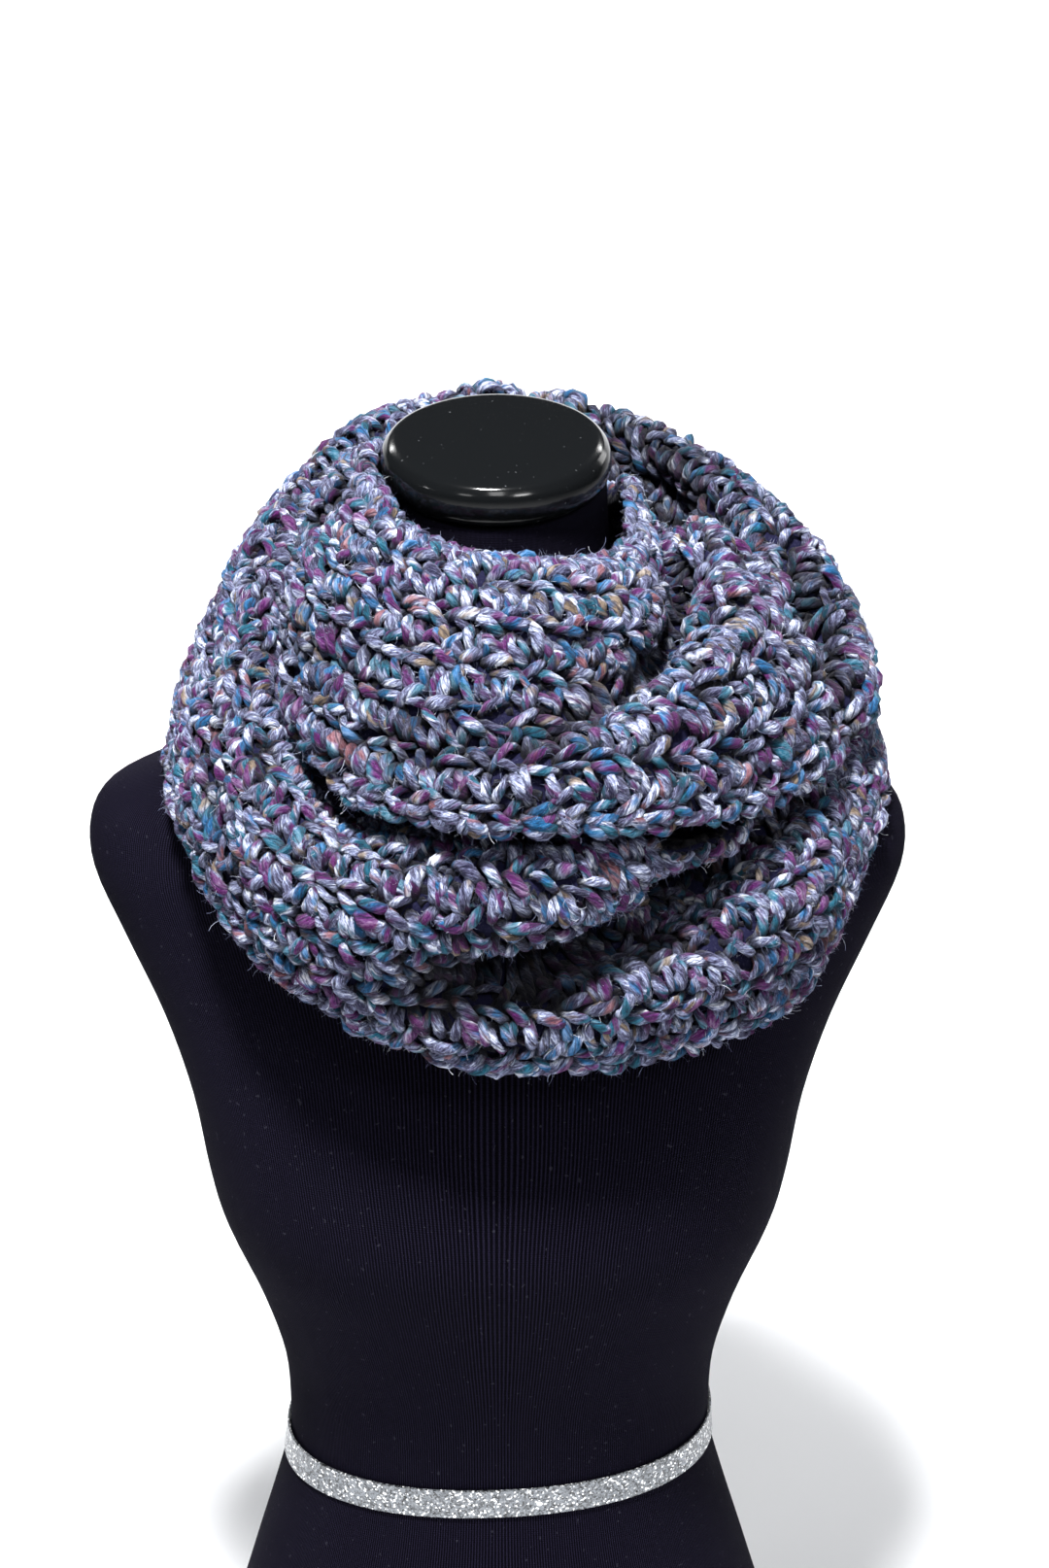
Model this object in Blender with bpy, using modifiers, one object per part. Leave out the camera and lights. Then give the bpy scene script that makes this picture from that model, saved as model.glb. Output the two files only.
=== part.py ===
"""Crocheted infinity scarf, wound twice round a limbless dress form.

The scarf is one closed band of chunky crochet.  It goes twice round the neck: the first turn
lies against the neck, the second lies outside it and lower.  COIL holds one cross-section of
the band per row; the sections are swept round the neck and closed to a solid of cloth
thickness, parted at upright seams so that each stretch is its own solid.
The form is a torso with its neck, a turned neck cap and a tape round the waist.
Modelled in millimetres and scaled to metres at the end of each builder.
Front is -Y, up is +Z, the form stands on its flat underside at z = 0.
"""
import math

import bpy
import numpy as np

MM = 0.001

# ------------------------------------------------------------------ driving dimensions (mm)
CLOTH_WALL = 8.0          # thickness of the crocheted cloth
EDGE_ROUND = 2.6          # how far the rounded edge stands past the last row
SEAM_GAP = 0.4            # clear space where one stretch meets the next
TURN_STEP = 6.0           # degrees of winding between two rings of a stretch
CLOTH_LINES = 20          # spans across the band, rim to hem
FINE = 57                 # points on a section while it is being rounded
ROUNDING = 14             # smoothing passes that round the folds of a section

TORSO_SIDES = 48          # facets round the torso
TORSO_SPANS = 2           # rings between two rows of the torso table
CAP_TILT = 17.7           # degrees the neck is cut forward
CAP_GAP = 0.4             # clear space under the neck cap
TAPE_WIDTH = 15.0         # waist tape
TAPE_THICK = 0.9
TAPE_GAP = 0.7
TAPE_HEIGHT = 211.0
TAPE_TILT = 2.5           # degrees, higher on the +X side

# The band is followed for 720 degrees of winding: 0 is behind the neck, 90 the -X side,
# 180 the front, 270 the +X side.  Each row gives the band's middle surface there as
# (distance from the neck axis, height) on eight lines that run along the loop.
COIL_LINES = ("rim", "brow", "crest", "dip", "ledge", "gutter", "belly", "hem")
COIL = (
    (0, (86, 664), (89, 646), (88, 628), (84, 610), (79.5, 592), (77.5, 573), (82, 554), (92, 536),
     ),
    (15, (77, 660), (84, 653), (88, 638), (88, 619), (85, 600), (84, 581), (87, 562), (94, 545)),
    (30, (65, 668), (73, 668), (80, 655), (84, 638), (85, 619), (86, 600), (89, 582), (95, 564)),
    (45, (60, 682), (67, 682), (74, 668), (79, 649), (82, 630), (85, 611), (89.3, 592.4),
     (96.6, 573.8)),
    (60, (59, 691), (65, 690), (72, 676), (76, 658), (79, 639), (83, 620), (88.5, 601.5),
     (97, 583)),
    (75, (58, 696), (64, 693), (71, 677), (74, 659), (77, 640), (81, 622), (86, 606), (94, 591)),
    (90, (58, 697), (65, 694), (74, 680), (81, 665), (81, 649), (80, 631), (83, 613), (90, 597)),
    (105, (59, 697), (67, 693), (78, 680), (86, 664), (90, 648), (88, 631), (85, 614), (84, 598)),
    (120, (62, 692), (71, 689), (81, 677), (91, 662), (99, 645), (103, 628), (97, 611), (90, 597)),
    (135, (65, 681), (76, 679), (87, 668), (97, 653), (105, 636), (111, 618), (112, 601),
     (109, 586)),
    (142, (67, 676), (78, 675), (90, 664), (101, 649), (110, 632), (116, 615), (117, 600),
     (116, 585)),
    (150, (68, 671), (79, 670), (92, 658), (104, 642), (114, 624), (121, 607), (124, 592),
     (124, 578)),
    (165, (71, 667), (83, 664), (97, 651), (109, 634), (120, 617), (130, 602), (138, 589),
     (141, 575)),
    (180, (75, 664), (88, 661), (104, 646), (114, 629), (126, 614), (140, 602), (149, 589),
     (151, 574)),
    (195, (76, 662), (90, 658), (107, 641), (114, 622), (128, 614), (144, 602), (153, 588),
     (154, 573)),
    (210, (75, 660), (90, 655), (104, 638), (107, 621), (120, 619), (137, 613), (150, 594),
     (154, 571)),
    (225, (71, 660), (84, 652), (95, 637), (101, 620), (112, 632), (130, 631), (147, 605),
     (152, 569)),
    (240, (66, 664), (76, 652), (85, 637), (95, 629), (108, 650), (127, 643), (148, 613),
     (156, 572)),
    (258, (60, 676), (69, 660), (81, 646), (96, 661), (115, 653), (138, 618), (156, 616),
     (168, 590)),
    (275, (59, 682), (67, 664), (79, 651), (93, 668), (112, 642), (134, 653), (155, 639),
     (166, 610)),
    (300, (60, 676), (67, 661), (78, 649), (89, 656), (97, 667), (107, 684), (129, 678),
     (146, 638)),
    (330, (62, 674), (68, 662), (78, 656), (90, 668), (101, 691), (116, 705), (130, 686),
     (137, 642)),
    (345, (64, 675), (70, 672), (79, 678), (88, 693), (98, 708), (110, 710), (122, 681),
     (130, 631)),
    (360, (66, 676), (74, 691), (84, 706), (96, 716), (109, 708), (118, 683), (124, 651),
     (128, 619)),
    (375, (71, 682), (79, 696), (89, 708), (100, 711), (112, 700), (121, 676), (128, 646),
     (133, 613)),
    (390, (76, 684), (86, 699), (97, 707), (109, 700), (120, 681), (128, 653), (134, 622),
     (138, 591)),
    (405, (80, 683), (88, 695), (98, 698), (110, 688), (120, 667), (130, 640), (137, 608),
     (142, 577)),
    (420, (83, 676), (89, 685), (99, 685), (110, 670), (121, 648), (132, 622), (140, 594),
     (146, 566)),
    (435, (84, 664), (91, 674), (101, 673), (111, 660), (122, 640), (132, 616), (140, 591),
     (146, 567)),
    (450, (93, 650), (98, 658), (106, 658), (115, 645), (125, 627), (135, 607), (142, 588),
     (145, 567.8)),
    (465, (100, 624), (102, 635), (108, 640), (117, 631), (127, 615), (136, 598), (143, 579),
     (148.5, 557)),
    (480, (108, 590), (110, 601), (117, 607), (126, 602), (136, 590), (145, 574), (149, 556),
     (149, 538)),
    (495, (112, 558), (115, 570), (123, 578), (133, 577), (144, 567), (151, 551), (152, 530),
     (147, 508)),
    (502, (106, 548), (114, 557), (124, 565), (136, 564), (147, 556), (154, 541), (153, 519),
     (145, 497)),
    (510, (104, 552), (113, 552), (125, 556), (138, 556), (149, 548), (154, 530), (151, 508),
     (141, 486)),
    (525, (106, 562), (118, 558), (133, 557), (146, 552), (156, 538), (152, 516), (146, 494),
     (137, 473)),
    (540, (112, 574), (126, 563), (144, 557), (156, 546), (154, 528), (133, 509), (145, 488),
     (135, 464)),
    (548, (118, 574), (131, 562), (147, 557), (156, 545), (150, 527), (131, 508), (145, 490),
     (136, 464)),
    (555, (126, 572), (139, 561), (152, 553), (154, 541), (143, 528), (129, 510), (147, 493),
     (138, 464)),
    (562, (139, 562), (150, 554), (148, 542), (136, 533), (124, 526), (127, 512), (150, 500),
     (141, 465)),
    (570, (148, 553), (142, 545), (131, 538), (120, 530), (119, 517), (134, 511), (156, 504),
     (144, 467)),
    (577, (147, 553), (136, 546), (126, 539), (120, 530), (125, 520), (142, 522), (161, 507),
     (147, 468)),
    (585, (144, 554), (132, 547), (123, 538), (124, 526), (138, 524), (153, 530), (164, 509),
     (150, 469)),
    (592, (133, 566), (128, 556), (126, 545), (132, 537), (146, 539), (158, 536), (166, 511),
     (154, 473)),
    (600, (122, 574), (120, 562), (128, 553), (140, 552), (153, 549), (163, 537), (167, 511),
     (156, 478)),
    (608, (110, 588), (114, 580), (124, 577), (136, 574), (149, 566), (160, 552), (168, 532),
     (164, 510)),
    (616, (98, 600), (105, 598), (116, 596), (129, 592), (143, 586), (156, 575), (166.5, 561),
     (172.5, 541)),
    (628, (86, 610), (97, 616), (110, 619), (125, 615), (141, 607), (155.5, 593), (167, 576),
     (174, 555)),
    (640, (84, 606), (95, 622), (110, 632), (127, 632), (144, 622), (158, 604), (169, 583),
     (175, 559)),
    (660, (84, 626), (96, 640), (110, 644), (124, 634), (135, 616), (142, 596), (144, 575),
     (145, 554)),
    (675, (87, 640), (97, 645), (108, 638), (116, 623), (121, 605), (123, 586), (124, 567),
     (126, 548)),
    (690, (90, 650), (98, 641), (103, 624), (104, 605), (103, 586), (102, 567), (103, 548),
     (108, 529)),
)

# Where the band is parted: name of the stretch, first and last degree of winding.
STRETCHES = (
    ("first_turn_nape", 6, 96),
    ("first_turn_front", 96, 201),
    ("first_turn_right", 201, 312),
    ("second_turn_nape", 312, 423),
    ("second_turn_left", 423, 531),
    ("second_turn_front", 531, 642),
    ("second_turn_right", 642, 726),
)

# height, half width, depth to the front, depth to the back, squareness
TORSO_COLUMNS = ("height", "half_width", "front", "back", "squareness", "tilt")
TORSO = (
    (0, 156, 98, 112, 2.4, 0),
    (60, 148, 92, 104, 2.4, 0),
    (125, 129.5, 86, 92, 2.3, 0),
    (176, 114, 79, 80, 2.2, 0),
    (204, 106.5, 75, 76, 2.2, 0),
    (224, 105, 76, 76, 2.2, 0),
    (258, 107, 82, 80, 2.2, 0),
    (298, 117.5, 95, 85, 2.3, 0),
    (338, 133, 111, 90, 2.3, 0),
    (364, 139.5, 115, 92, 2.3, 0),
    (403, 146, 108, 94, 2.4, 0),
    (441, 158.5, 95, 95, 2.35, 0),
    (479, 175.5, 82, 93, 2.35, 0),
    (510, 188, 72, 88, 2.4, 0),
    (532, 188.5, 61, 80, 2.4, 0),
    (547, 180, 54, 73, 2.3, 0),
    (557.5, 159, 54, 73, 2.3, 0),
    (568.6, 131, 55, 73, 2.2, 0),
    (579.6, 102, 57, 71, 2.2, 0),
    (593.6, 76, 56, 64, 2.1, 1),
    (612, 61, 53, 55, 2.0, 4),
    (640, 53, 54, 46, 2.0, 9),
    (669, 50, 56, 42, 2.0, 14),
    (689, 49, 58, 40, 2.0, CAP_TILT),
)
# radius and height of the cap's turned outline, from its top to its underside
CAP_PROFILE = ((0.0, 20.2), (30.0, 20.0), (44.0, 19.2), (48.6, 16.4), (50.5, 12.0),
               (50.5, 6.0), (49.0, 2.0), (46.0, 0.0), (0.0, 0.0))


# ------------------------------------------------------------------ curves
def through(keys, values, at, period=None):
    """Smooth curve through values given at keys, read off at the places in at."""
    keys = np.asarray(keys, float)
    values = np.asarray(values, float)
    if period:
        keys = np.concatenate([[keys[-1] - period], keys, [keys[0] + period, keys[1] + period]])
        values = np.concatenate([values[-1:], values, values[:2]])
    shape = (-1,) + (1,) * (values.ndim - 1)
    step = np.diff(keys).reshape(shape)
    rise = np.diff(values, axis=0) / step
    slope = np.empty_like(values)
    slope[1:-1] = (rise[:-1] * step[1:] + rise[1:] * step[:-1]) / (step[1:] + step[:-1])
    slope[0], slope[-1] = rise[0], rise[-1]
    at = np.asarray(at, float)
    k = np.clip(np.searchsorted(keys, at, side="right") - 1, 0, len(keys) - 2)
    h = step[k]
    t = (at - keys[k]).reshape(shape) / h
    return ((1 + 2 * t) * (1 - t) ** 2 * values[k] + t * (1 - t) ** 2 * h * slope[k]
            + t * t * (3 - 2 * t) * values[k + 1] + t * t * (t - 1) * h * slope[k + 1])


def evened(sections):
    """Sections with their points spaced evenly along each one."""
    runs = np.linalg.norm(np.diff(sections, axis=1), axis=2)
    along = np.concatenate([np.zeros((len(runs), 1)), np.cumsum(runs, axis=1)], axis=1)
    out = np.empty_like(sections)
    for k, line in enumerate(along):
        places = np.linspace(0.0, line[-1], sections.shape[1])
        for c in range(2):
            out[k, :, c] = np.interp(places, line, sections[k, :, c])
    return out


def band_sections(turn):
    """Rounded (radius, height) sections of the band at each degree of winding in turn."""
    keys = [row[0] for row in COIL]
    knots = np.array([row[1:] for row in COIL], float)
    rough = through(keys, knots, np.mod(turn, 720.0), period=720.0)
    lines = np.arange(len(COIL_LINES))
    fine = through(lines, rough.transpose(1, 0, 2), np.linspace(0, lines[-1], FINE))
    fine = evened(fine.transpose(1, 0, 2))
    for _ in range(ROUNDING):
        fine[:, 1:-1] = fine[:, 1:-1] * 0.5 + (fine[:, :-2] + fine[:, 2:]) * 0.25
    return evened(fine)


def band_points(turn, across):
    """Points of the band's middle surface; across runs from 0 at the rim to 1 at the hem."""
    turn = np.asarray(turn, float)
    fine = band_sections(turn).transpose(1, 0, 2)
    sections = through(np.linspace(0, 1, FINE), fine, across).transpose(1, 0, 2)
    angle = np.radians(turn - 180.0)[:, None]
    radius, height = sections[..., 0], sections[..., 1]
    return np.stack([radius * np.sin(angle), -radius * np.cos(angle), height], axis=-1)


def unit(vectors):
    return vectors / np.linalg.norm(vectors, axis=-1, keepdims=True)


def band_frame(turn, across):
    """Middle points with the unit directions along the loop, across the band and outward."""
    here = band_points(turn, across)
    along = unit(band_points(np.asarray(turn) + 1.5, across)
                 - band_points(np.asarray(turn) - 1.5, across))
    side = unit(np.gradient(here, axis=1))
    return here, along, side, unit(np.cross(side, along))


# ------------------------------------------------------------------ meshes
def mesh_object(name, points, faces, collection):
    mesh = bpy.data.meshes.new(name)
    mesh.from_pydata([tuple(p) for p in np.asarray(points) * MM], [], faces)
    mesh.update()
    obj = bpy.data.objects.new(name, mesh)
    collection.objects.link(obj)
    for polygon in mesh.polygons:
        polygon.use_smooth = True
    return obj


def loft(rings, start_cap, end_cap):
    """Faces of a tube through equal closed rings, with the given faces at its two ends."""
    count = len(rings[0])
    faces = []
    for k in range(len(rings) - 1):
        for i in range(count):
            j = (i + 1) % count
            faces.append((k * count + i, k * count + j, (k + 1) * count + j, (k + 1) * count + i))
    last = (len(rings) - 1) * count
    faces += [tuple(reversed(face)) for face in start_cap]
    faces += [tuple(last + i for i in face) for face in end_cap]
    return np.concatenate(rings), faces


def cloth_stretch(name, first, last, collection):
    """One stretch of the band: two skins either side of its middle surface, round edges."""
    steps = max(2, round((last - first) / TURN_STEP))
    turn = np.linspace(first, last, steps + 1)
    across = np.linspace(0.0, 1.0, CLOTH_LINES + 1)
    middle, along, side, out = band_frame(turn, across)
    middle[0] += along[0] * SEAM_GAP / 2
    middle[-1] -= along[-1] * SEAM_GAP / 2
    half = CLOTH_WALL / 2
    outer, inner = middle + out * half, middle - out * half
    rim_nose = middle[:, :1] - side[:, :1] * EDGE_ROUND
    hem_nose = middle[:, -1:] + side[:, -1:] * EDGE_ROUND
    rings = np.concatenate([rim_nose, outer, hem_nose, inner[:, ::-1]], axis=1)
    n = CLOTH_LINES + 1
    other = [2 * n + 1 - i for i in range(n)]           # inner point facing outer point i
    cap = [(0, 1, other[0])]
    for i in range(n - 1):
        cap += [(1 + i, 2 + i, other[i]), (2 + i, other[i + 1], other[i])]
    cap.append((n, n + 1, other[n - 1]))
    return mesh_object(name, *loft(list(rings), cap, cap), collection)


def torso_section(height):
    """Table columns at one height."""
    table = np.array(TORSO, float)
    return through(table[:, 0], table, [height])[0]


def torso_ring(row, grow=0.0):
    """Closed ring of the torso, counter-clockwise from +X, tilted about its middle."""
    height, half, front, back, square, tilt = row
    angle = np.linspace(0.0, 2 * math.pi, TORSO_SIDES, endpoint=False)
    cos, sin = np.cos(angle), np.sin(angle)
    depth = np.where(sin < 0, front, back) + grow
    x = (half + grow) * np.sign(cos) * np.abs(cos) ** (2 / square)
    y = depth * np.sign(sin) * np.abs(sin) ** (2 / square)
    lean = math.radians(tilt)
    middle = (back - front) / 2
    return np.stack([x, middle + (y - middle) * math.cos(lean),
                     height + (y - middle) * math.sin(lean)], axis=-1)


def torso(collection):
    table = np.array(TORSO, float)
    places = np.linspace(0, len(table) - 1, (len(table) - 1) * TORSO_SPANS + 1)
    rings = [torso_ring(row) for row in through(np.arange(len(table)), table, places)]
    lid = [tuple(range(TORSO_SIDES))]
    return mesh_object("form_torso", *loft(rings, lid, lid), collection)


def neck_cap(collection):
    """Turned cap: the outline is drawn at +X and screwed round, then laid on the cut neck."""
    mesh = bpy.data.meshes.new("form_neck_cap")
    points = [(radius * MM, 0.0, height * MM) for radius, height in CAP_PROFILE]
    mesh.from_pydata(points, [(i, i + 1) for i in range(len(points) - 1)], [])
    obj = bpy.data.objects.new("form_neck_cap", mesh)
    collection.objects.link(obj)
    screw = obj.modifiers.new("turned", "SCREW")
    screw.steps = screw.render_steps = 40
    screw.use_merge_vertices = True
    screw.merge_threshold = 0.00001
    screw.use_normal_calculate = True
    screw.use_smooth_shade = True
    row = TORSO[-1]
    lean = math.radians(CAP_TILT)
    middle = (row[3] - row[2]) / 2
    obj.location = (0.0, (middle - CAP_GAP * math.sin(lean)) * MM,
                    (row[0] + CAP_GAP * math.cos(lean)) * MM)
    obj.rotation_euler = (lean, 0.0, 0.0)
    return obj


def waist_tape(collection):
    """Flat tape drawn snug round the waist, a closed ring of four edges."""
    slope = math.tan(math.radians(TAPE_TILT))
    corners = ((-0.5, TAPE_GAP), (-0.5, TAPE_GAP + TAPE_THICK), (0.5, TAPE_GAP + TAPE_THICK),
               (0.5, TAPE_GAP))
    stations = []
    for k in range(TORSO_SIDES):
        station = []
        for side, grow in corners:
            level = TAPE_HEIGHT + side * TAPE_WIDTH
            level += slope * torso_ring(torso_section(level), grow)[k][0]
            station.append((*torso_ring(torso_section(level), grow)[k][:2], level))
        stations.append(station)
    points = np.array(stations).reshape(-1, 3)
    faces = []
    for k in range(TORSO_SIDES):
        after = (k + 1) % TORSO_SIDES
        for i in range(4):
            j = (i + 1) % 4
            faces.append((k * 4 + i, after * 4 + i, after * 4 + j, k * 4 + j))
    obj = mesh_object("waist_tape", points, faces, collection)
    for polygon in obj.data.polygons:
        polygon.use_smooth = False
    return obj


# ------------------------------------------------------------------ materials and scene
def material(name, colour, roughness, sheen=0.0, metallic=0.0):
    made = bpy.data.materials.new(name)
    made.use_nodes = True
    shader = made.node_tree.nodes["Principled BSDF"]
    shader.inputs["Base Color"].default_value = (*colour, 1.0)
    shader.inputs["Roughness"].default_value = roughness
    shader.inputs["Sheen Weight"].default_value = sheen
    shader.inputs["Metallic"].default_value = metallic
    return made


def dress(obj, *look):
    obj.data.materials.append(material(obj.name + "_look", *look))


def main():
    for obj in list(bpy.data.objects):
        bpy.data.objects.remove(obj)
    parts = bpy.data.collections.new("infinity_scarf_on_form")
    cutters = bpy.data.collections.new("cutters")
    for collection in (parts, cutters):
        bpy.context.scene.collection.children.link(collection)

    dress(torso(parts), (0.012, 0.012, 0.015), 0.85, 0.3)
    dress(neck_cap(parts), (0.006, 0.006, 0.007), 0.12)
    dress(waist_tape(parts), (0.62, 0.63, 0.64), 0.35, 0.0, 0.6)
    for name, first, last in STRETCHES:
        dress(cloth_stretch(name, first, last, parts), (0.16, 0.155, 0.19), 0.92, 0.4)


main()
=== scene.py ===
"""Chunky crocheted infinity scarf on a limbless dress form, dressed for rendering.

The scarf is one band of crochet wound twice round the neck.  Its middle surface is worked out
from COIL, the same winding table as the solids; the ground cloth, the stitches and the wool's
fuzz are all laid on that surface.  Lengths in the tables are millimetres, in the scene metres.
Front is -Y, up is +Z, and the form stands on z = 0.
"""
import math

import bpy
import numpy as np
from bpy.props import FloatProperty, FloatVectorProperty, IntProperty, PointerProperty
from mathutils import Matrix, Vector


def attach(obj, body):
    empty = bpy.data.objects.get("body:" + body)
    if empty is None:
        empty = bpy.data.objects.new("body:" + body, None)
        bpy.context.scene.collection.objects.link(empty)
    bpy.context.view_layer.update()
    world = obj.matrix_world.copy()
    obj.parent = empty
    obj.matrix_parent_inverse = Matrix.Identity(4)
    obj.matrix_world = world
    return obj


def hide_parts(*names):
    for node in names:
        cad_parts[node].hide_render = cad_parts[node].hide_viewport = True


bl_info = {
    "name": "Infinity Scarf on a Dress Form",
    "version": (1, 0, 0),
    "blender": (4, 5, 0),
    "location": "3D View > Sidebar > Scarf",
    "description": "Crocheted tweed infinity scarf with its jersey dress form and a plain studio",
    "category": "Object",
}

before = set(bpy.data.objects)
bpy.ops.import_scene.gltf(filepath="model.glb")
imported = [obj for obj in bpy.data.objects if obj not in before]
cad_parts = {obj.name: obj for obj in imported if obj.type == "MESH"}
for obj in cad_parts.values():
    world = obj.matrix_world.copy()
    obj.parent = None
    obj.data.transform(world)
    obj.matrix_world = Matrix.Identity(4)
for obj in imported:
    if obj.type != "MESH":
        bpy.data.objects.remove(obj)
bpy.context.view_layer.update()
BODY = "root"
MM = 0.001

# ---- the winding of the band
FINE = 57                 # points on a section while it is being rounded
ROUNDING = 14             # smoothing passes that round the folds of a section
EDGE_RADIUS = 4.0         # how tightly the band's rim and hem turn over

# The band is followed for 720 degrees of winding: 0 is behind the neck, 90 the -X side,
# 180 the front, 270 the +X side.  Each row gives the degree and then, for each of the eight
# lines that run along the loop, the middle surface's distance from the neck axis and its height.
LOOP = 720
COIL_LINES = ("rim", "brow", "crest", "dip", "ledge", "gutter", "belly", "hem")
COIL = (
    (0, 86, 664,  89, 646,  88, 628,  84, 610,  79.5, 592,  77.5, 573,  82, 554,  92, 536),
    (15, 77, 660,  84, 653,  88, 638,  88, 619,  85, 600,  84, 581,  87, 562,  94, 545),
    (30, 65, 668,  73, 668,  80, 655,  84, 638,  85, 619,  86, 600,  89, 582,  95, 564),
    (45, 60, 682,  67, 682,  74, 668,  79, 649,  82, 630,  85, 611,  89.3, 592.4,  96.6, 573.8),
    (60, 59, 691,  65, 690,  72, 676,  76, 658,  79, 639,  83, 620,  88.5, 601.5,  97, 583),
    (75, 58, 696,  64, 693,  71, 677,  74, 659,  77, 640,  81, 622,  86, 606,  94, 591),
    (90, 58, 697,  65, 694,  74, 680,  81, 665,  81, 649,  80, 631,  83, 613,  90, 597),
    (105, 59, 697,  67, 693,  78, 680,  86, 664,  90, 648,  88, 631,  85, 614,  84, 598),
    (120, 62, 692,  71, 689,  81, 677,  91, 662,  99, 645,  103, 628,  97, 611,  90, 597),
    (135, 65, 681,  76, 679,  87, 668,  97, 653,  105, 636,  111, 618,  112, 601,  109, 586),
    (142, 67, 676,  78, 675,  90, 664,  101, 649,  110, 632,  116, 615,  117, 600,  116, 585),
    (150, 68, 671,  79, 670,  92, 658,  104, 642,  114, 624,  121, 607,  124, 592,  124, 578),
    (165, 71, 667,  83, 664,  97, 651,  109, 634,  120, 617,  130, 602,  138, 589,  141, 575),
    (180, 75, 664,  88, 661,  104, 646,  114, 629,  126, 614,  140, 602,  149, 589,  151, 574),
    (195, 76, 662,  90, 658,  107, 641,  114, 622,  128, 614,  144, 602,  153, 588,  154, 573),
    (210, 75, 660,  90, 655,  104, 638,  107, 621,  120, 619,  137, 613,  150, 594,  154, 571),
    (225, 71, 660,  84, 652,  95, 637,  101, 620,  112, 632,  130, 631,  147, 605,  152, 569),
    (240, 66, 664,  76, 652,  85, 637,  95, 629,  108, 650,  127, 643,  148, 613,  156, 572),
    (258, 60, 676,  69, 660,  81, 646,  96, 661,  115, 653,  138, 618,  156, 616,  168, 590),
    (275, 59, 682,  67, 664,  79, 651,  93, 668,  112, 642,  134, 653,  155, 639,  166, 610),
    (300, 60, 676,  67, 661,  78, 649,  89, 656,  97, 667,  107, 684,  129, 678,  146, 638),
    (330, 62, 674,  68, 662,  78, 656,  90, 668,  101, 691,  116, 705,  130, 686,  137, 642),
    (345, 64, 675,  70, 672,  79, 678,  88, 693,  98, 708,  110, 710,  122, 681,  130, 631),
    (360, 66, 676,  74, 691,  84, 706,  96, 716,  109, 708,  118, 683,  124, 651,  128, 619),
    (375, 71, 682,  79, 696,  89, 708,  100, 711,  112, 700,  121, 676,  128, 646,  133, 613),
    (390, 76, 684,  86, 699,  97, 707,  109, 700,  120, 681,  128, 653,  134, 622,  138, 591),
    (405, 80, 683,  88, 695,  98, 698,  110, 688,  120, 667,  130, 640,  137, 608,  142, 577),
    (420, 83, 676,  89, 685,  99, 685,  110, 670,  121, 648,  132, 622,  140, 594,  146, 566),
    (435, 84, 664,  91, 674,  101, 673,  111, 660,  122, 640,  132, 616,  140, 591,  146, 567),
    (450, 93, 650,  98, 658,  106, 658,  115, 645,  125, 627,  135, 607,  142, 588,  145, 567.8),
    (465, 100, 624,  102, 635,  108, 640,  117, 631,  127, 615,  136, 598,  143, 579,  148.5, 557),
    (480, 108, 590,  110, 601,  117, 607,  126, 602,  136, 590,  145, 574,  149, 556,  149, 538),
    (495, 112, 558,  115, 570,  123, 578,  133, 577,  144, 567,  151, 551,  152, 530,  147, 508),
    (502, 106, 548,  114, 557,  124, 565,  136, 564,  147, 556,  154, 541,  153, 519,  145, 497),
    (510, 104, 552,  113, 552,  125, 556,  138, 556,  149, 548,  154, 530,  151, 508,  141, 486),
    (525, 106, 562,  118, 558,  133, 557,  146, 552,  156, 538,  152, 516,  146, 494,  137, 473),
    (540, 112, 574,  126, 563,  144, 557,  156, 546,  154, 528,  133, 509,  145, 488,  135, 464),
    (548, 118, 574,  131, 562,  147, 557,  156, 545,  150, 527,  131, 508,  145, 490,  136, 464),
    (555, 126, 572,  139, 561,  152, 553,  154, 541,  143, 528,  129, 510,  147, 493,  138, 464),
    (562, 139, 562,  150, 554,  148, 542,  136, 533,  124, 526,  127, 512,  150, 500,  141, 465),
    (570, 148, 553,  142, 545,  131, 538,  120, 530,  119, 517,  134, 511,  156, 504,  144, 467),
    (577, 147, 553,  136, 546,  126, 539,  120, 530,  125, 520,  142, 522,  161, 507,  147, 468),
    (585, 144, 554,  132, 547,  123, 538,  124, 526,  138, 524,  153, 530,  164, 509,  150, 469),
    (592, 133, 566,  128, 556,  126, 545,  132, 537,  146, 539,  158, 536,  166, 511,  154, 473),
    (600, 122, 574,  120, 562,  128, 553,  140, 552,  153, 549,  163, 537,  167, 511,  156, 478),
    (608, 110, 588,  114, 580,  124, 577,  136, 574,  149, 566,  160, 552,  168, 532,  164, 510),
    (616, 98, 600,  105, 598,  116, 596,  129, 592,  143, 586,  156, 575,  166.5, 561,  172.5, 541),
    (628, 86, 610,  97, 616,  110, 619,  125, 615,  141, 607,  155.5, 593,  167, 576,  174, 555),
    (640, 84, 606,  95, 622,  110, 632,  127, 632,  144, 622,  158, 604,  169, 583,  175, 559),
    (660, 84, 626,  96, 640,  110, 644,  124, 634,  135, 616,  142, 596,  144, 575,  145, 554),
    (675, 87, 640,  97, 645,  108, 638,  116, 623,  121, 605,  123, 586,  124, 567,  126, 548),
    (690, 90, 650,  98, 641,  103, 624,  104, 605,  103, 586,  102, 567,  103, 548,  108, 529),
)

# Where the band is parted: name of the stretch, first and last degree of winding.
STRETCHES = (
    ("first_turn_nape", 6, 96),
    ("first_turn_front", 96, 201),
    ("first_turn_right", 201, 312),
    ("second_turn_nape", 312, 423),
    ("second_turn_left", 423, 531),
    ("second_turn_front", 531, 642),
    ("second_turn_right", 642, 726),
)

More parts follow.
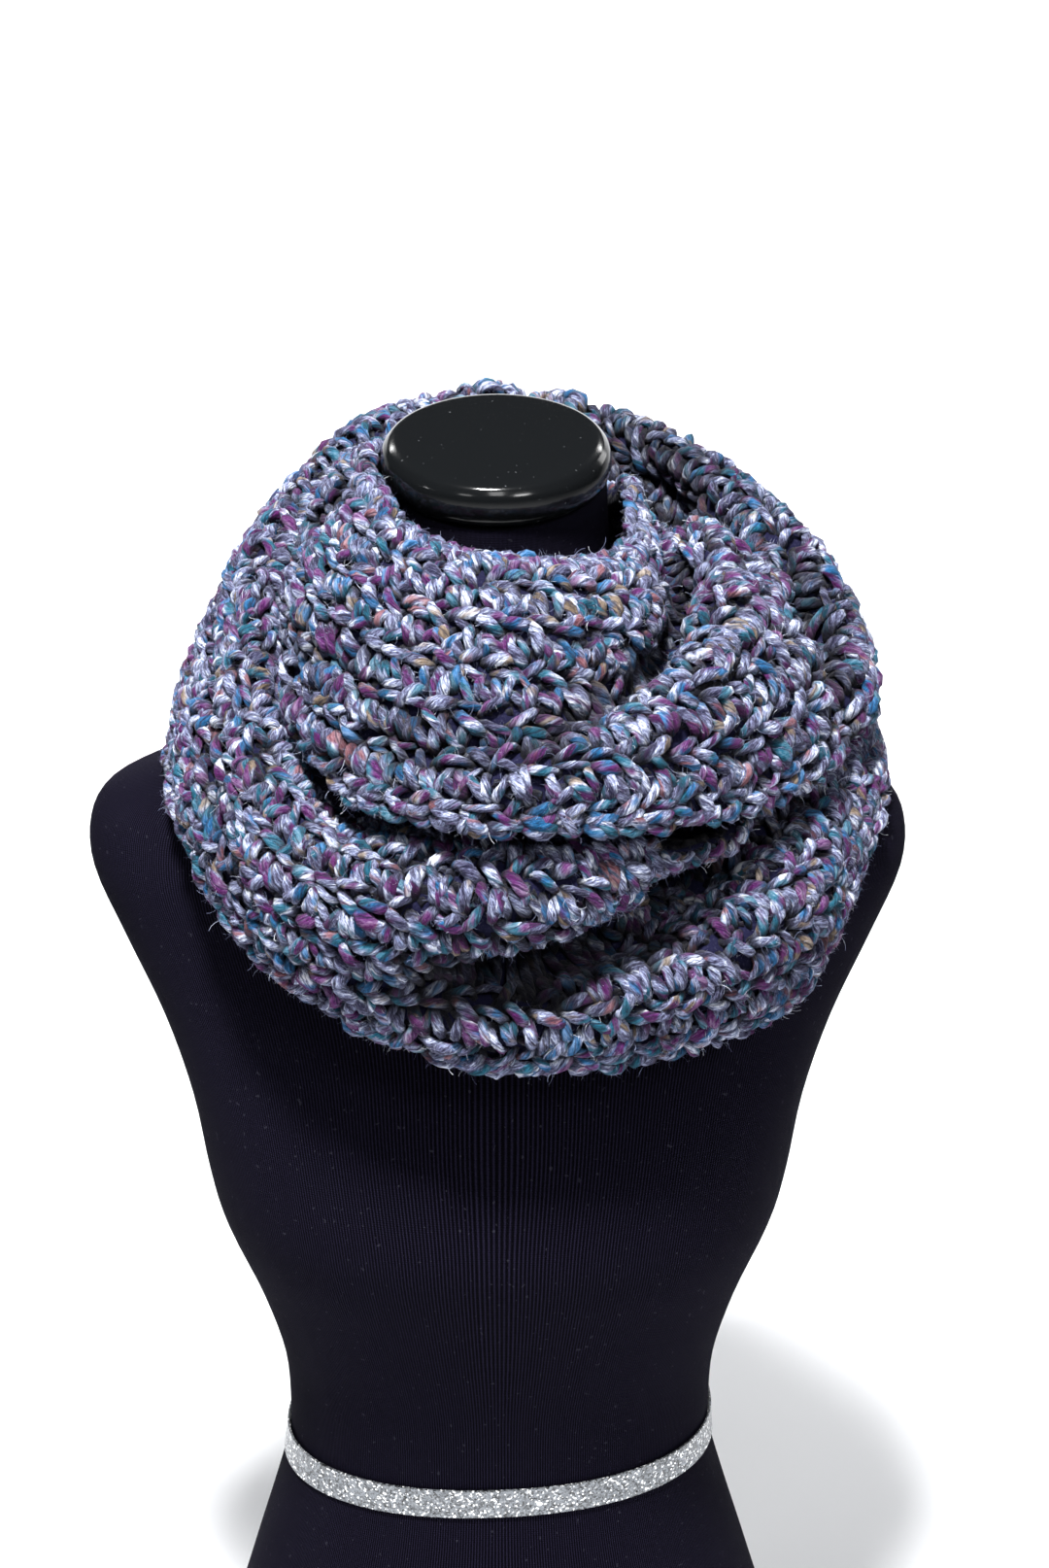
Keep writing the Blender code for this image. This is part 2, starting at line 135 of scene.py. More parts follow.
# ---- the form
CAP_TILT = 17.7           # degrees the neck is cut forward
CAP_GAP = 0.4             # clear space under the neck cap
TAPE_WIDTH = 15.0         # the ribbon round the waist
TAPE_THICK = 0.9
TAPE_GAP = 0.7            # clear space behind it
TAPE_HEIGHT = 211.0
TAPE_TILT = 2.5           # degrees, higher on the +X side
TAPE_ROUND = 0.15         # how far its edges are rounded
HIP_ROUND = 0.88          # metres round the hips, by which the jersey's ribs are counted
FORM_SIDES = 144          # points round the torso and the ribbon

# Sections of the torso: height, half width, depth to the front and to the back, squareness
# (2 is an ellipse), and tilt in degrees.
TORSO = (
    (0, 156, 98, 112, 2.4, 0),
    (60, 148, 92, 104, 2.4, 0),
    (125, 129.5, 86, 92, 2.3, 0),
    (176, 114, 79, 80, 2.2, 0),
    (204, 106.5, 75, 76, 2.2, 0),
    (224, 105, 76, 76, 2.2, 0),
    (258, 107, 82, 80, 2.2, 0),
    (298, 117.5, 95, 85, 2.3, 0),
    (338, 133, 111, 90, 2.3, 0),
    (364, 139.5, 115, 92, 2.3, 0),
    (403, 146, 108, 94, 2.4, 0),
    (441, 158.5, 95, 95, 2.35, 0),
    (479, 175.5, 82, 93, 2.35, 0),
    (510, 188, 72, 88, 2.4, 0),
    (532, 188.5, 61, 80, 2.4, 0),
    (547, 180, 54, 73, 2.3, 0),
    (557.5, 159, 54, 73, 2.3, 0),
    (568.6, 131, 55, 73, 2.2, 0),
    (579.6, 102, 57, 71, 2.2, 0),
    (593.6, 76, 56, 64, 2.1, 1),
    (612, 61, 53, 55, 2.0, 4),
    (640, 53, 54, 46, 2.0, 9),
    (669, 50, 56, 42, 2.0, 14),
    (689, 49, 58, 40, 2.0, CAP_TILT),
)
# Radius and height of the cap's turned outline, from its top to its underside.
CAP_PROFILE = ((0.0, 20.2), (30.0, 20.0), (44.0, 19.2), (48.6, 16.4), (50.5, 12.0),
               (50.5, 6.0), (49.0, 2.0), (46.0, 0.0), (0.0, 0.0))


# ---- sizes and colours to change
def colour(name, value, description):
    return FloatVectorProperty(name=name, description=description, default=value,
                               size=3, min=0.0, max=1.0, subtype="COLOR")


def number(name, value, description, **kind):
    return FloatProperty(name=name, description=description, default=value, **kind)


def length(name, value, description):
    return number(name, value, description, unit="LENGTH")


def power(name, value, description):
    return number(name, value, description, unit="POWER")


class ScarfSizes(bpy.types.PropertyGroup):
    """Sizes of the crochet."""
    rows: IntProperty(name="Rows", description="Rows of stitches across the band",
                      default=12, min=6, max=20)
    stitches: IntProperty(name="Stitches", description="Stitches in one row, all round the loop",
                          default=150, min=60, max=200)
    yarn: length("Yarn radius", 0.00222, "Half the thickness of the yarn")
    lumps: number("Lumpiness", 0.34, "How unevenly the yarn is spun")
    ground: length("Ground thickness", 0.003, "Thickness of the closed cloth behind the stitches")
    fuzz: number("Fuzz density", 140000.0, "Loose fibres on a square metre of yarn")
    fibre: length("Fibre length", 0.0058, "Length of a loose fibre")
    seed: IntProperty(name="Seed", description="Fixes the hand-made unevenness", default=11)


class YarnColours(bpy.types.PropertyGroup):
    """Colours spun into the tweed yarn."""
    heather: colour("Heather", (0.080, 0.078, 0.145), "Main grey of the yarn")
    mist: colour("Mist", (0.262, 0.300, 0.475), "Light grey fibres")
    cream: colour("Cream", (0.820, 0.860, 0.950), "Undyed fibres")
    # This colour is both the yarn's dark fibres and the colour of its painted shade in grooves,
    # fibre gaps, deep yarn, folds and the ground cloth.
    slate: colour("Slate", (0.009, 0.009, 0.032), "Dark fibres")
    teal: colour("Teal", (0.001, 0.100, 0.165), "Teal flecks")
    sea: colour("Sea blue", (0.004, 0.105, 0.270), "Blue flecks")
    plum: colour("Plum", (0.088, 0.004, 0.096), "Purple flecks")
    rose: colour("Rose", (0.200, 0.070, 0.085), "Pink flecks")
    straw: colour("Straw", (0.200, 0.145, 0.095), "Tan flecks")


class FormLooks(bpy.types.PropertyGroup):
    """Finish of the dress form."""
    jersey: colour("Jersey", (0.0030, 0.0026, 0.0058), "Black ribbed jersey")
    rib: length("Rib pitch", 0.0015, "Width of one rib of the jersey")
    cap: colour("Cap", (0.004, 0.0045, 0.005), "Moulded neck cap")
    ribbon: colour("Ribbon", (0.230, 0.245, 0.265), "Ground of the glitter ribbon")
    glitter: length("Glitter size", 0.0009, "Width of one glitter flake")


class StudioLooks(bpy.types.PropertyGroup):
    """Floor, backdrop and lights."""
    paper: colour("Paper", (0.88, 0.89, 0.91), "Pale floor and backdrop")
    key: power("Key light", 101.0, "Power of the main softbox")
    fill: power("Fill light", 3.0, "Power of the other softboxes, before each one's share")
    room: number("Room light", 0.012, "Strength of the even light all round")
    backdrop: power("Backdrop light", 42.0, "Power of each backdrop light")


# ---- curves of the band
def through(keys, values, at, period=None):
    """Smooth curve through values given at keys, read off at the places in at."""
    keys = np.asarray(keys, float)
    values = np.asarray(values, float)
    if period:
        keys = np.concatenate([[keys[-1] - period], keys, [keys[0] + period, keys[1] + period]])
        values = np.concatenate([values[-1:], values, values[:2]])
    shape = (-1,) + (1,) * (values.ndim - 1)
    step = np.diff(keys).reshape(shape)
    rise = np.diff(values, axis=0) / step
    slope = np.empty_like(values)
    slope[1:-1] = (rise[:-1] * step[1:] + rise[1:] * step[:-1]) / (step[1:] + step[:-1])
    slope[0], slope[-1] = rise[0], rise[-1]
    at = np.asarray(at, float)
    k = np.clip(np.searchsorted(keys, at, side="right") - 1, 0, len(keys) - 2)
    h = step[k]
    t = (at - keys[k]).reshape(shape) / h
    return ((1 + 2 * t) * (1 - t) ** 2 * values[k] + t * (1 - t) ** 2 * h * slope[k]
            + t * t * (3 - 2 * t) * values[k + 1] + t * t * (t - 1) * h * slope[k + 1])


def run_along(points):
    """Length along each line of points, from its first point to every point of it."""
    steps = np.linalg.norm(np.diff(points, axis=-2), axis=-1)
    start = np.zeros((*steps.shape[:-1], 1))
    return np.concatenate([start, np.cumsum(steps, axis=-1)], axis=-1)


def evened(sections):
    """Sections with their points spaced evenly along each one."""
    out = np.empty_like(sections)
    for k, line in enumerate(run_along(sections)):
        places = np.linspace(0.0, line[-1], sections.shape[1])
        for c in range(2):
            out[k, :, c] = np.interp(places, line, sections[k, :, c])
    return out


def unit(vectors):
    return vectors / np.maximum(np.linalg.norm(vectors, axis=-1, keepdims=True), 1e-12)


# Folds of the cloth: depth (less than 0 for a ridge) and half width in millimetres, then the
# places (turn, across) that the fold runs through. The stitches in a fold also get painted shade.
CREASES = (
    (17.0, 8.0, ((262, 0.16), (251, 0.22), (232, 0.28), (215, 0.42), (201, 0.57), (188, 0.68))),
    (-4.0, 8.0, ((255, 0.42), (240, 0.45), (225, 0.57), (212, 0.69), (200, 0.80))),
    (6.0, 8.0, ((196, 0.66), (177, 0.73), (163, 0.79), (150, 0.84))),
    (20.0, 12.0, ((526, 0.77), (536, 0.72), (547, 0.67), (554, 0.60), (562, 0.52), (574, 0.45))),
    (17.0, 13.0, ((570, 0.16), (579, 0.22), (589, 0.26))),
    (12.0, 7.0, ((583, 0.08), (592, 0.19), (600, 0.30), (606, 0.40))),
    (17.0, 11.0, ((104, 0.04), (109, 0.09), (113, 0.13), (114, 0.17), (113, 0.21), (110, 0.27),
                  (108, 0.32))),
    (10.0, 6.5, ((133, 0.60), (143, 0.62), (153, 0.58))),
    (5.0, 8.0, ((120, 0.62), (132, 0.74), (142, 0.86))),
    (6.0, 4.0, ((452, 0.09), (462, 0.12))),
    (19.0, 8.5, ((274, 0.64), (267, 0.70), (259, 0.75), (251, 0.81), (250, 0.97))),
    (9.0, 4.5, ((262, 0.36), (256, 0.44), (254, 0.54))),
    (27.0, 20.0, ((324, 0.42), (314, 0.40), (304, 0.38), (296, 0.37))),
    (-6.0, 8.0, ((100, 0.84), (118, 0.87), (136, 0.90), (152, 0.92))),
    (8.0, 7.0, ((20, 0.28), (38, 0.36), (62, 0.52))),
    (9.0, 7.0, ((332, 0.52), (352, 0.60), (378, 0.74))),
    (8.0, 6.0, ((392, 0.55), (410, 0.47), (430, 0.50))),
    (7.0, 7.0, ((468, 0.44), (484, 0.56), (500, 0.74))),
    (8.0, 7.0, ((618, 0.62), (634, 0.52), (652, 0.56))),
)


class Band:
    """Middle surface of the whole band in metres, with a frame at every place on it.

    turn is the degree of winding, across runs from 0 at the rim to 1 at the hem."""

    STEP = 1.0            # degrees between two sections of the grid
    LINES = 72            # spans of the grid across the band

    def __init__(self):
        self.turns = np.arange(0.0, LOOP, self.STEP)
        table = np.array(COIL, float)
        knots = table[:, 1:].reshape(len(table), len(COIL_LINES), 2)
        rough = through(table[:, 0], knots, self.turns, period=LOOP)
        lines = np.arange(len(COIL_LINES))
        fine = through(lines, rough.transpose(1, 0, 2), np.linspace(0, lines[-1], FINE))
        fine = evened(fine.transpose(1, 0, 2))
        for _ in range(ROUNDING):
            fine[:, 1:-1] = fine[:, 1:-1] * 0.5 + (fine[:, :-2] + fine[:, 2:]) * 0.25
        fine = evened(fine).transpose(1, 0, 2)
        sections = through(np.linspace(0, 1, FINE), fine,
                           np.linspace(0, 1, self.LINES + 1)).transpose(1, 0, 2) * MM
        angle = np.radians(self.turns - 180.0)[:, None]        # 0 at the front
        radius, height = sections[..., 0], sections[..., 1]
        self.middle = np.stack([radius * np.sin(angle), -radius * np.cos(angle), height], -1)
        self.frame()
        self.press = sum(self.crease(*fold) for fold in CREASES)
        self.middle -= self.out * self.press[..., None] * MM
        self.frame()

    def frame(self):
        """Directions along, across and outward at every place of the grid."""
        self.along = unit(np.roll(self.middle, -1, 0) - np.roll(self.middle, 1, 0))
        self.side = unit(np.gradient(self.middle, axis=1))
        self.out = unit(np.cross(self.side, self.along))

    def crease(self, depth, half_width, places):
        """How far in millimetres a soft fold through places presses each point inwards."""
        keys = np.linspace(0, 1, len(places))
        steps = np.linspace(0, 1, 9 * len(places))
        line = through(keys, np.array(places, float), steps)
        taper = np.sin(math.pi * np.clip(steps, 0.02, 0.98)) ** 0.6
        across = np.linspace(0, 1, self.LINES + 1)[None, :]
        degree = np.linalg.norm(self.middle - np.roll(self.middle, 1, 0), axis=2).mean(axis=1)
        wide = self.width(line[:, 0])
        press = np.zeros(self.middle.shape[:2])
        for (turn, place), reach, weight in zip(line, wide, taper):
            ahead = np.mod(self.turns - turn + LOOP / 2, LOOP) - LOOP / 2
            run = ahead * degree[int(turn) % LOOP]
            gap = np.hypot(run[:, None], (across - place) * reach) / (half_width * MM)
            press = np.maximum(press, weight * np.exp(-gap ** 2))
        return press * depth

    def at(self, turn, across):
        """Middle point, direction along, direction across and outward direction."""
        turn, across = np.broadcast_arrays(np.mod(turn, LOOP), np.clip(across, 0.0, 1.0))
        k, f = np.divmod(turn / self.STEP, 1.0)
        i, g = np.divmod(across * self.LINES, 1.0)
        i, g = np.where(i >= self.LINES, self.LINES - 1, i), np.where(i >= self.LINES, 1.0, g)
        k, i = k.astype(int) % len(self.turns), i.astype(int)
        n, f, g = (k + 1) % len(self.turns), f[..., None], g[..., None]
        found = [(1 - f) * ((1 - g) * grid[k, i] + g * grid[k, i + 1])
                 + f * ((1 - g) * grid[n, i] + g * grid[n, i + 1])
                 for grid in (self.middle, self.along, self.side, self.out)]
        return [found[0]] + [unit(v) for v in found[1:]]

    def row_turns(self, across, count):
        """Degree of winding at each of count even steps along the line at across."""
        turns = np.append(self.turns, LOOP)
        runs = run_along(self.at(turns, across)[0])
        return np.interp(np.linspace(0, runs[-1], count + 1), runs, turns)

    def lay(self, turn, across, lift):
        """Points lift metres outside the middle surface; past an edge they turn over it."""
        middle, _, side, out = self.at(turn, across)
        over = np.where(across < 0, across, np.maximum(across - 1.0, 0.0)) * self.width(turn)
        bend = np.clip(over / (EDGE_RADIUS * MM), -math.pi, math.pi)[..., None]
        lift = np.asarray(lift)[..., None]
        return middle + lift * (out * np.cos(bend) + side * np.sin(bend))

    def pressed(self, turn, across):
        """How far in millimetres the folds press the band in at each place."""
        places = (np.round(np.mod(turn, LOOP) / self.STEP).astype(int) % len(self.turns),
                  np.round(np.clip(across, 0.0, 1.0) * self.LINES).astype(int))
        return np.maximum(self.press[places], 0.0)

    def width(self, turn):
        """Length of the section at each degree of winding."""
        runs = np.linalg.norm(np.diff(self.middle, axis=1), axis=2).sum(axis=1)
        return np.interp(np.mod(turn, LOOP), self.turns, runs, period=LOOP)


BAND = Band()


def torso_rings(sides, spans):
    """Rings of the torso from its flat base to the cut neck, counter-clockwise from +X."""
    table = np.array(TORSO, float)
    places = np.linspace(0, len(table) - 1, (len(table) - 1) * spans + 1)
    rows = through(np.arange(len(table)), table, places)
    return [torso_ring(row, sides) for row in rows]


def torso_ring(row, sides, grow=0.0):
    height, half, front, back, square, tilt = row
    angle = np.linspace(0.0, 2 * math.pi, sides, endpoint=False)
    cos, sin = np.cos(angle), np.sin(angle)
    depth = np.where(sin < 0, front, back) + grow
    x = (half + grow) * np.sign(cos) * np.abs(cos) ** (2 / square)
    y = depth * np.sign(sin) * np.abs(sin) ** (2 / square)
    lean = math.radians(tilt)
    middle = (back - front) / 2
    return np.stack([x, middle + (y - middle) * math.cos(lean),
                     height + (y - middle) * math.sin(lean)], axis=-1)


def torso_at(height):
    table = np.array(TORSO, float)
    return through(table[:, 0], table, [height])[0]


# ---- node trees
def operation(name):
    """A method of Wire that becomes one Math node."""
    return lambda wire, other: wire.math(name, other)


class Wire:
    """One output of a node.  Sums, products and comparisons of wires become Math nodes."""

    def __init__(self, tree, node, output=0):
        self.tree, self.node, self.output = tree, node, output

    @property
    def socket(self):
        return self.node.outputs[self.output]

    def take(self, output):
        return Wire(self.tree, self.node, output)

    def math(self, name, *others):
        return self.tree.add("ShaderNodeMath", dict(enumerate((self, *others))), operation=name)

    def __rsub__(self, other):
        return self.tree.add("ShaderNodeMath", {0: other, 1: self}, operation="SUBTRACT")

    __add__ = __radd__ = operation("ADD")
    __mul__ = __rmul__ = operation("MULTIPLY")
    __sub__, __truediv__ = operation("SUBTRACT"), operation("DIVIDE")
    __pow__, __gt__ = operation("POWER"), operation("GREATER_THAN")


class Tree:
    """A node tree that is written as Python expressions."""

    def __init__(self, nodes):
        self.nodes, self.links = nodes.nodes, nodes.links

    def add(self, kind, values=None, output=0, **settings):
        """A node of that kind: its settings first, then the values or wires of its inputs."""
        node = self.nodes.new(kind)
        for key, value in settings.items():
            setattr(node, key, value)
        for key, value in (values or {}).items():
            socket = node.inputs[key]
            wires = value if isinstance(value, list) else [value]
            if isinstance(wires[0], Wire):
                for wire in wires:
                    self.links.new(wire.socket, socket)
            elif socket.type == "RGBA" and len(value) == 3:
                socket.default_value = (*value, 1.0)
            else:
                socket.default_value = value
        return Wire(self, node, output)

    def mix(self, share, first, second):
        """Colour between first and second."""
        return self.add("ShaderNodeMix", {0: share, 6: first, 7: second}, 2, data_type="RGBA")

    def ramp(self, amount, *stops):
        """Colours between the stops, each of which is a place and a colour."""
        made = self.add("ShaderNodeValToRGB", {0: amount})
        elements = made.node.color_ramp.elements
        while len(elements) < len(stops):
            elements.new(1.0)
        for element, (place, tone) in zip(elements, stops):
            element.position = place
            element.color = (*tone, 1.0)
        return made

    def vector(self, x, y, z):
        return self.add("ShaderNodeCombineXYZ", {0: x, 1: y, 2: z})

    def split(self, vector):
        return self.add("ShaderNodeSeparateXYZ", {0: vector})

    def noise(self, place, scale, detail=2.0, rough=0.5):
        return self.add("ShaderNodeTexNoise", {"Vector": place, "Scale": scale,
                                               "Detail": detail, "Roughness": rough})

    def on_object(self):
        """Place on the object, in metres."""
        return self.add("ShaderNodeTexCoord", output="Object")

    def stored(self, name, kind="FLOAT"):
        """Value of a named attribute of a mesh."""
        return self.add("GeometryNodeInputNamedAttribute", {"Name": name}, data_type=kind)

    def store(self, geometry, name, vector):
        return self.add("GeometryNodeStoreNamedAttribute",
                        {"Geometry": geometry, "Name": name, "Value": vector},
                        data_type="FLOAT_VECTOR", domain="POINT")


def grey(level):
    return (level, level, level)


def fade(start, end, low=0.0, high=1.0):
    """Two stops of a ramp between two levels of grey."""
    return (start, grey(low)), (end, grey(high))


def shade(colour, share):
    return tuple(share * c for c in colour)


def finish(**even):
    """Decorator of a function that gives the varying inputs of a Principled material.

    The material has the function's name, is made once, and has even as its other inputs."""
    def decorate(build):
        def material(looks):
            found = bpy.data.materials.get(build.__name__)
            if found:
                return found
            made = bpy.data.materials.new(build.__name__)
            made.use_nodes = True
            tree = Tree(made.node_tree)
            inputs = made.node_tree.nodes["Principled BSDF"].inputs
            for key, value in even.items():
                inputs[key.replace("_", " ")].default_value = value
            for key, value in build(tree, looks).items():
                if isinstance(value, tuple):                   # a height and how deep it is
                    value = tree.add("ShaderNodeBump", {"Height": value[0], "Strength": 1.0,
                                                        "Distance": value[1]})
                tree.links.new(value.socket, inputs[key.replace("_", " ")])
            return made
        return material
    return decorate


# ---- materials
PLY_TWIST = 21.0          # millimetres of yarn in which its plies turn once
# Flecks of the tweed: colour, rarity, and where each colour starts along the yarn.
FLECKS = (("straw", 0.660, 117.0), ("rose", 0.672, 83.0), ("teal", 0.600, 0.0),
          ("sea", 0.625, 57.0), ("plum", 0.605, 31.0))
LINT, DUST = (0.06, 0.06, 0.08), (0.20, 0.21, 0.23)


@finish(Roughness=0.88, Sheen_Weight=0.06, Sheen_Roughness=0.5, Specular_IOR_Level=0.10)
def tweed_wool(tree, colours):
    """Tweed yarn: three soft plies, each a bundle of heathered fibres, with dyed flecks.

    The attribute yarn holds (run along the yarn in metres, cosine and sine round it), and
    lift is how far its middle stands off the band in millimetres, lowered in folds: deep yarn
    and yarn in folds get painted shade, a colour near black."""
    parts = tree.split(tree.add("ShaderNodeAttribute", output="Vector", attribute_name="yarn"))
    lift = tree.add("ShaderNodeAttribute", output="Fac", attribute_name="lift")
    run = parts * 1000.0                                       # millimetres
    angle = parts.take(2).math("ARCTAN2", parts.take(1))
    twisted = angle + run * (2 * math.pi / PLY_TWIST)
    wave, wave_side = twisted.math("COSINE"), twisted.math("SINE")

    def drawn(along, around, detail, rough=0.5, start=0.0):
        """Noise that is drawn out along the twisted yarn."""
        place = tree.vector(run * along + start, wave * around, wave_side * around)
        return tree.noise(place, 1.0, detail, rough)

    clouds = drawn(0.13, 0.5, 1.0)
    fibres = drawn(0.42, 2.6, 4.0, 0.6)
    hairs = drawn(1.1, 7.5, 4.0, 0.7)
    streak = clouds * 0.36 + fibres * 0.30 + hairs * 0.34
    tone = tree.ramp(streak, (0.41, colours.slate), (0.475, colours.heather),
                     (0.545, colours.mist), (0.60, colours.cream))
    ragged = (hairs - 0.5) * 0.09
    for name, rarity, start in FLECKS:
        fleck = getattr(colours, name)
        zone = drawn(0.011, 0.0, 0.0, start=start * 3.0) * 0.30 - 0.15
        dyed = drawn(0.075, 0.26, 1.0, start=start) + ragged + zone
        share = tree.ramp(dyed, *fade(rarity - 0.025, rarity + 0.025, high=0.95))
        pale = tuple(1.1 * c + 0.14 * d for c, d in zip(fleck, colours.cream))
        faded = tree.ramp(streak, (0.42, shade(fleck, 0.4)), (0.50, fleck), (0.62, pale))
        tone = tree.mix(share, tone, faded)
    # Painted shade: where the fibres are sparse the gaps between them are darkened nearly to black.
    thin = tree.ramp(fibres * 0.5 + hairs * 0.5, *fade(0.36, 0.47, 0.85, 0.0))
    tone = tree.mix(thin, tone, colours.slate)
    groove = (twisted * 1.5).math("SINE").math("ABSOLUTE")
    # Painted shade: the grooves between the plies are darkened towards the dark fibre colour.
    tone = tree.mix(tree.ramp(groove, *fade(0.0, 0.4, 0.75, 0.0)), tone, colours.slate)
    # Painted shade: yarn that lies deep, at a strand's ends and in folds, is darkened nearly to
    # black.
    deep = tree.ramp(lift * 0.1 + 0.5, *fade(0.44, 0.60, 1.0, 0.72), *fade(0.72, 0.82, 0.28, 0.0))
    tone = tree.mix(deep, tone, shade(colours.slate, 0.2))
    height = groove ** 0.6 * 0.45 + fibres * 0.7 + hairs * 0.55
    return {"Base_Color": tone, "Normal": (height, 0.0016)}


@finish(Roughness=0.95, Specular_IOR_Level=0.1)
def ground_wool(tree, colours):
    """The closed crochet behind the stitches: rows of heathered yarn, coloured near black as
    painted shade between the stitches.
    """
    broad = tree.noise(tree.on_object(), 90.0, 3.0)
    fine = tree.noise(tree.on_object(), 900.0, 4.0, 0.65)
    rows = tree.split(tree.add("ShaderNodeUVMap", uv_map="cloth")).take(1)
    ridge = (rows * math.pi).math("SINE").math("ABSOLUTE")
    # Painted shade: the whole ground cloth is coloured near black, as the shade between the
    # stitches.
    tone = tree.mix(broad, shade(colours.slate, 0.45), colours.slate)
    pale = tree.ramp(fine, *fade(0.55, 0.75, high=0.6))
    tone = tree.mix(pale, tone, shade(colours.heather, 0.6))
    return {"Base_Color": tone, "Normal": (ridge * 0.6 + fine * 0.5, 0.0012)}


@finish(Roughness=0.8, Specular_IOR_Level=0.2)
def loose_fibre(tree, colours):
    tone = tree.ramp(tree.noise(tree.on_object(), 120.0, 1.0), (0.35, colours.heather),
                     (0.55, colours.mist), (0.68, colours.cream))
    return {"Base_Color": tone}


@finish(Sheen_Weight=0.006, Sheen_Roughness=0.35, Sheen_Tint=(0.72, 0.70, 1.0, 1.0),
        Specular_IOR_Level=0.015)
def ribbed_jersey(tree, looks):
    """Fine upright ribs from the piece's own map, ribs round and metres up; a little pilling."""
    split = tree.split(tree.add("ShaderNodeUVMap", uv_map="cloth"))
    wobble = tree.noise(tree.vector(split * 40.0, split.take(1) * 9.0, 0.0), 1.0, 2.0)
    rib = (split * (2 * math.pi) + wobble * 1.6).math("SINE")
    loops = (split.take(1) * (2 * math.pi / (0.7 * looks.rib))).math("SINE")
    pile = tree.noise(tree.on_object(), 1500.0, 4.0, 0.7)
    thread = rib * 0.5 + 0.5
    # Painted light and shade: each rib's crest is painted up to 4.6 times the jersey colour and its
    # valley down to a tenth of it.
    tone = tree.mix(thread ** 2.0 * 0.8 + pile * 0.2, shade(looks.jersey, 0.10),
                    shade(looks.jersey, 4.6))
    lint = tree.noise(tree.on_object(), 480.0, 0.0)
    tone = tree.mix(tree.ramp(lint, *fade(0.79, 0.81, high=0.3)), tone, LINT)
    height = thread ** 0.7 * 0.7 + loops * 0.1 + pile * 0.35
    rough = tree.noise(tree.on_object(), 14.0, 2.0) * 0.12 + 0.78
    return {"Base_Color": tone, "Roughness": rough, "Normal": (height, 0.0008)}


@finish(IOR=1.34, Coat_Weight=0.0)
def moulded_cap(tree, looks):
    haze = tree.noise(tree.on_object(), 30.0, 4.0, 0.6)
    swirl = tree.noise(tree.on_object(), 8.0, 1.0)
    dust = tree.ramp(tree.noise(tree.on_object(), 700.0, 0.0), *fade(0.845, 0.87))
    return {"Base_Color": tree.mix(dust * 0.25, looks.cap, DUST),
            "Roughness": haze * 0.10 + 0.09 + dust * 0.3,
            "Normal": (swirl * 0.5 + haze * 0.08, 0.0009)}


@finish()
def glitter_ribbon(tree, looks):
    """Flakes of glitter lie at all angles on a grey ribbon, and each catches the light alone; their
    colours also carry painted glints and shade.
    """
    flakes = tree.add("ShaderNodeTexVoronoi", {"Vector": tree.on_object(),
                                               "Scale": 1.0 / looks.glitter}, "Color")
    tilt = tree.add("ShaderNodeSeparateColor", {0: flakes})
    # Painted glints and shade: by its random tilt a flake is painted near black, ribbon grey or
    # near white.
    flake_tone_painted_glint = tree.ramp(tilt, (0.0, grey(0.05)), (0.6, looks.ribbon), (0.86, looks.ribbon),
                       (0.93, grey(0.95)))
    gleam = tree.ramp(tilt.take(1), *fade(0.35, 0.75, 0.2, 0.95))
    return {"Base_Color": flake_tone_painted_glint, "Metallic": gleam, "Roughness": tilt.take(2) * 0.35 + 0.18,
            "Normal": (tilt + tilt.take(1), 0.0006)}


@finish(Roughness=0.85)
def studio_paper(tree, looks):
    soft = tree.noise(tree.on_object(), 1.3, 3.0)
    return {"Base_Color": tree.mix(soft, shade(looks.paper, 0.97), looks.paper)}


# ---- meshes
def piece(name, points, faces, material, smooth=True):
    """A mesh whose place is in its points, at the origin."""
    mesh = bpy.data.meshes.new(name)
    mesh.from_pydata(np.asarray(points, float).tolist(), [], faces)
    mesh.materials.append(material)
    for polygon in mesh.polygons:
        polygon.use_smooth = smooth
    mesh.update()
    return link(name, mesh)


def link(name, data):
    obj = bpy.data.objects.new(name, data)
    bpy.context.scene.collection.objects.link(obj)
    return obj


def stand_for(obj, node):
    """Lets obj be seen in the place of a solid, which is hidden."""
    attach(obj, BODY)
    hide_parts(node)


def grid_faces(rows, columns):
    """Quads between rows rings of columns points each, closed round the ring."""
    faces = []
    for k in range(rows - 1):
        for i in range(columns):
            j = (i + 1) % columns
            faces.append((k * columns + i, k * columns + j,
                          (k + 1) * columns + j, (k + 1) * columns + i))
    return faces


def lay_map(obj, values):
    """Map called cloth, from one pair of values for each point."""
    layer = obj.data.uv_layers.new(name="cloth")
    corner = np.zeros(len(obj.data.loops), int)
    obj.data.loops.foreach_get("vertex_index", corner)
    layer.data.foreach_set("uv", np.asarray(values, np.float32)[corner].ravel())


def settle(obj, build, **inputs):
    """Runs obj through the Geometry Nodes tree of that name and keeps the plain mesh."""
    tree = bpy.data.node_groups.get(build.__name__) or build()
    modifier = obj.modifiers.new("made", "NODES")
    modifier.node_group = tree
    for item in tree.interface.items_tree:
        if item.name in inputs:
            modifier[item.identifier] = inputs[item.name]
    seen = obj.evaluated_get(bpy.context.evaluated_depsgraph_get())
    mesh = bpy.data.meshes.new_from_object(seen)
    obj.modifiers.remove(modifier)
    old, obj.data = obj.data, mesh
    bpy.data.meshes.remove(old)
    mesh.name = obj.name
    return obj


def geometry_tree(name, **inputs):
    """Empty Geometry Nodes tree with those inputs: the tree, its nodes and its named entries."""
    group = bpy.data.node_groups.new(name, "GeometryNodeTree")
    face = group.interface
    face.new_socket("Geometry", in_out="INPUT", socket_type="NodeSocketGeometry")
    for label, kind in inputs.items():
        face.new_socket(label, in_out="INPUT", socket_type="NodeSocket" + kind)
    face.new_socket("Geometry", in_out="OUTPUT", socket_type="NodeSocketGeometry")
    tree = Tree(group)
    return group, tree, tree.add("NodeGroupInput").take


